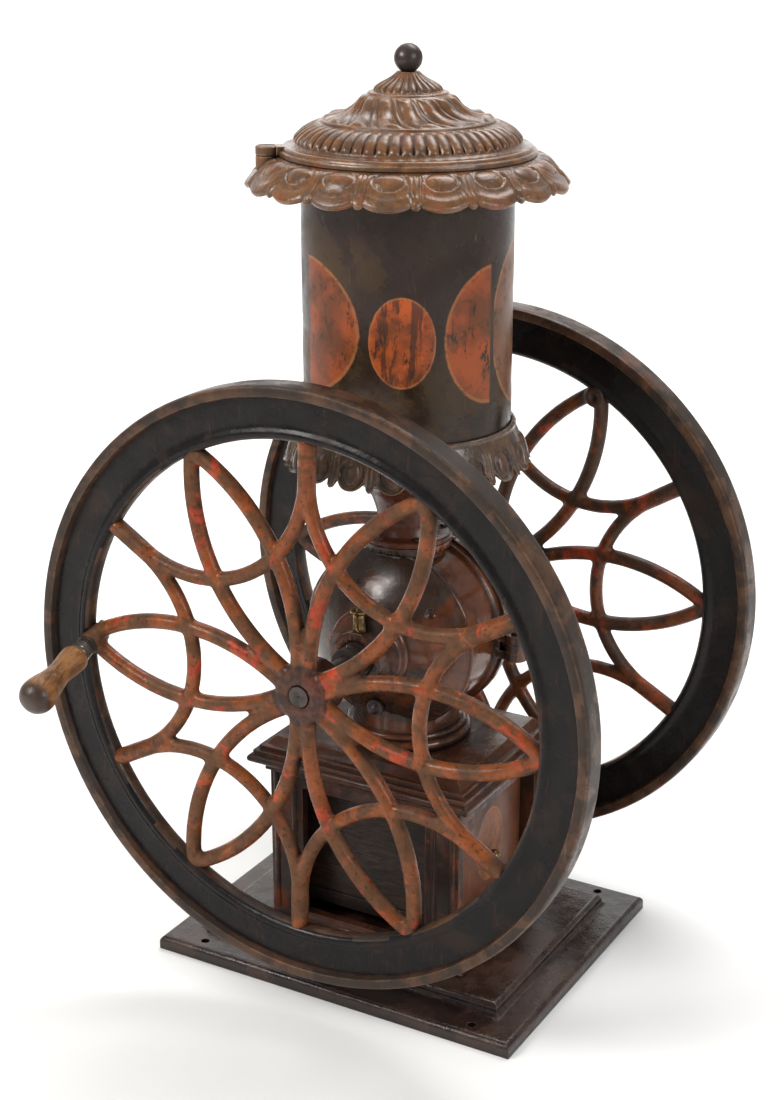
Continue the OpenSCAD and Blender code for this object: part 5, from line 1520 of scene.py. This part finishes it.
@dataclass
class Casting:
    """A CAD node carried over as a merged, smoothed copy in its own finish."""

    node: str
    body: Body
    slot: Slot
    angle: float = 32.0
    bevel: float = 0.0
    barrels: tuple[float, ...] = ()

    def build(self, finishes: Finishes) -> None:
        """Copies the node, rounds its edges and dresses it.

        Args:
            finishes: The finishes.
        """
        piece = take(f"{self.node}_casting", self.node, angle=self.angle)
        if self.bevel:
            work = bmesh.new()
            work.from_mesh(piece.data)
            bmesh.ops.dissolve_limit(work, angle_limit=math.radians(0.6), verts=work.verts, edges=work.edges)
            work.to_mesh(piece.data)
            work.free()
            edge = piece.modifiers.new("worn_edges", "BEVEL")
            edge.width, edge.segments, edge.limit_method, edge.angle_limit = self.bevel, 3, "ANGLE", math.radians(38)
            edge.harden_normals = True
        else:
            even = piece.modifiers.new("even_shading", "WEIGHTED_NORMAL")
            even.mode, even.weight, even.keep_sharp = "FACE_AREA", 50, True
        flatten(piece)
        piece.data.materials.clear()
        if self.barrels:
            self.true_barrels(piece.data)
        settle(piece, self.body, self.slot, finishes.of(self.slot), self.node)

    def true_barrels(self, mesh: bpy.types.Mesh) -> None:
        """Gives the round walls about the shaft their exact normals.

        Args:
            mesh: The mesh to shade.
        """
        normals = [tuple(corner.vector) for corner in mesh.corner_normals]
        for face in mesh.polygons:
            spots = [mesh.vertices[i].co for i in face.vertices]
            reaches = [math.hypot(spot.x, spot.z - AXLE) for spot in spots]
            if any(max(abs(reach - radius) for reach in reaches) < 2e-5 for radius in self.barrels):
                for corner, spot in zip(face.loop_indices, spots):
                    out = Vector((spot.x, 0, spot.z - AXLE)).normalized()
                    normals[corner] = tuple(out if out.dot(face.normal) > 0 else -out)
        mesh.normals_split_custom_set(normals)


@dataclass
class Undressed:
    """The CAD nodes that keep their own mesh and take only a finish."""

    slots: dict[str, Slot] = field(default_factory=dict)

    def build(self, finishes: Finishes) -> None:
        """Gives each node its finish.

        Args:
            finishes: The finishes.
        """
        for name, slot in self.slots.items():
            node = frame["nodes"][name]
            for holder in node.material_slots:
                holder.material = finishes.of(slot)
            if not node.material_slots:
                node.data.materials.append(finishes.of(slot))
            LOG.info("%s keeps its own mesh", name)


# The stage


@dataclass
class Studio:
    """A pale floor, soft lamps and the camera at the photograph's angle."""

    eye: tuple[float, float, float] = (0.9263, -1.6547, 1.1189)
    azimuth: float = 29.704
    elevation: float = 19.656
    lens: float = 64.21

    def camera(self) -> None:
        """Makes the camera."""
        data = bpy.data.cameras.new("photo_camera")
        data.sensor_width, data.lens, data.clip_start, data.clip_end = 36, self.lens, 0.02, 60
        camera = bpy.data.objects.new("photo_camera", data)
        a, e = math.radians(self.azimuth), math.radians(self.elevation)
        back = Vector((math.sin(a) * math.cos(e), -math.cos(a) * math.cos(e), math.sin(e)))
        camera.location = self.eye
        camera.rotation_mode = "QUATERNION"
        camera.rotation_quaternion = (-back).to_track_quat("-Z", "Y")
        bpy.context.scene.collection.objects.link(camera)
        bpy.context.scene.camera = camera

    def floor(self) -> None:
        """Makes the floor, which bends up into a backdrop behind the mill."""
        rows = [(y, 0.0) for y in (-6.0, 0.0, 3.0)]
        rows += [(3.0 + 1.5 * math.sin(t), 1.5 - 1.5 * math.cos(t)) for t in (math.pi / 2 * i / 12 for i in range(1, 13))]
        rows.append((4.5, 7.0))
        points = [Vector((x, y, z)) for y, z in rows for x in (-8.0, 8.0)]
        faces = [(2 * i, 2 * i + 1, 2 * i + 3, 2 * i + 2) for i in range(len(rows) - 1)]
        turn = Matrix.Rotation(math.radians(self.azimuth), 4, "Z")
        floor = make("studio_floor", [turn @ p for p in points], faces)
        floor.data.shade_smooth()
        made, tree, shader, place = start_material("studio_paper")
        cloud = tree.noise(place, 3, 3)
        tree.feed(shader.inputs["Base Color"], tree.blend(cloud, tone(247, 247, 246), tone(250, 250, 249)))
        shader.inputs["Roughness"].default_value = 0.9
        floor.data.materials.append(made)

    def lamp(self, name: str, place: tuple[float, float, float], aim: tuple[float, float, float], size: float,
             power: float, colour: Tone) -> None:
        """Makes a soft square lamp.

        Args:
            name: The lamp's name.
            place: Where it hangs.
            aim: What it looks at.
            size: Its side in metres.
            power: Its power in watts.
            colour: Its colour.
        """
        data = bpy.data.lights.new(name, "AREA")
        data.shape, data.size, data.energy, data.color = "SQUARE", size, power, colour
        lamp = bpy.data.objects.new(name, data)
        lamp.location = place
        lamp.rotation_mode = "QUATERNION"
        lamp.rotation_quaternion = (Vector(aim) - Vector(place)).to_track_quat("-Z", "Y")
        bpy.context.scene.collection.objects.link(lamp)

    def build(self) -> None:
        """Makes the whole stage."""
        self.camera()
        self.floor()
        middle, behind = (0.0, 0.0, 0.5), (-2.2, 3.8, 0.9)
        self.lamp("window_light", (-1.6, -2.6, 2.6), middle, 1.4, 92, (1, 0.985, 0.96))
        self.lamp("side_fill", (3.2, -0.8, 1.8), middle, 1.3, 44, (0.99, 0.995, 1))
        self.lamp("top_light", (0.3, 1.2, 3.2), middle, 1.6, 40, (1, 1, 1))
        self.lamp("backdrop_light", (-0.9, 1.6, 3.6), behind, 2.4, 110, (1, 1, 1))
        world = bpy.data.worlds.new("studio_world")
        world.use_nodes = True
        tree = Tree(world.node_tree)
        sky = tree.add("ShaderNodeBackground", {"Color": (0.95, 0.945, 0.94), "Strength": 0.36})
        tree.add("ShaderNodeOutputWorld", {"Surface": sky.outputs[0]})
        bpy.context.scene.world = world
        bpy.context.scene.view_settings.view_transform = "Standard"


def main() -> None:
    """Builds the mill from the floor up and reports each piece."""
    logging.basicConfig(level=logging.INFO, format="%(name)s: %(message)s")
    Studio().build()
    finishes = Finishes()
    mill, rotor = Body.MILL, Body.ROTOR
    TraceryWheel("crank_wheel", "crank_wheel", 0.202, -1, -2.0, Slot.CRANK_WHEEL).build(finishes)
    TraceryWheel("plain_wheel", "plain_wheel", 0.196, 1, 1.0, Slot.PLAIN_WHEEL).build(finishes)
    CrankGrip().build(finishes)
    for part in (Crown(), LowerCollar(), HopperShell(), Lid(), Throat()):
        part.build(finishes)
    for casting in (
        Casting("base_plate", mill, Slot.BLACK, bevel=0.0018),
        Casting("pedestal_frame", mill, Slot.BOX, bevel=0.001),
        Casting("cornice", mill, Slot.CORNICE, bevel=0.0016),
        Casting("drawer_tray", Body.DRAWER, Slot.TRAY, bevel=0.0008),
        Casting("drawer_front", Body.DRAWER, Slot.PANEL, bevel=0.0012),
        Casting("drawer_knob", Body.DRAWER, Slot.BRASS),
        Casting("case_body", mill, Slot.CASE, barrels=(0.094, 0.098)),
        Casting("case_cover", mill, Slot.CASE, barrels=(0.094, 0.098)),
        Casting("front_oil_cup", mill, Slot.BRASS),
        Casting("rear_oil_cup", mill, Slot.BRASS),
        Casting("inspection_plug", mill, Slot.IRON),
        Casting("main_shaft", rotor, Slot.STEEL),
        Casting("cover_clamp_screw", mill, Slot.STEEL),
        Casting("cover_hinge_pin", mill, Slot.STEEL),
        Casting("lid_pivot_screw", mill, Slot.STEEL),
    ):
        casting.build(finishes)
    plain = {"regulator_nut": Slot.IRON, "front_bush": Slot.BRONZE, "rear_bush": Slot.BRONZE, "shaft_collar": Slot.STEEL,
             "feed_worm": Slot.IRON, "fixed_burr": Slot.IRON, "turning_burr": Slot.IRON, "drawer_runners": Slot.IRON,
             "tie_bolts": Slot.STEEL, "foot_bolts": Slot.STEEL, "fixed_burr_screws": Slot.STEEL, "burr_drive_pin": Slot.STEEL,
             "hub_set_screws": Slot.STEEL, "grip_spindle": Slot.STEEL, "spindle_nut": Slot.STEEL, "spindle_washers": Slot.STEEL,
             "throat_bolts": Slot.STEEL, "shell_screws": Slot.BRASS, "finial_nut": Slot.STEEL}
    Undressed(plain).build(finishes)


if __name__ == "__main__":
    main()
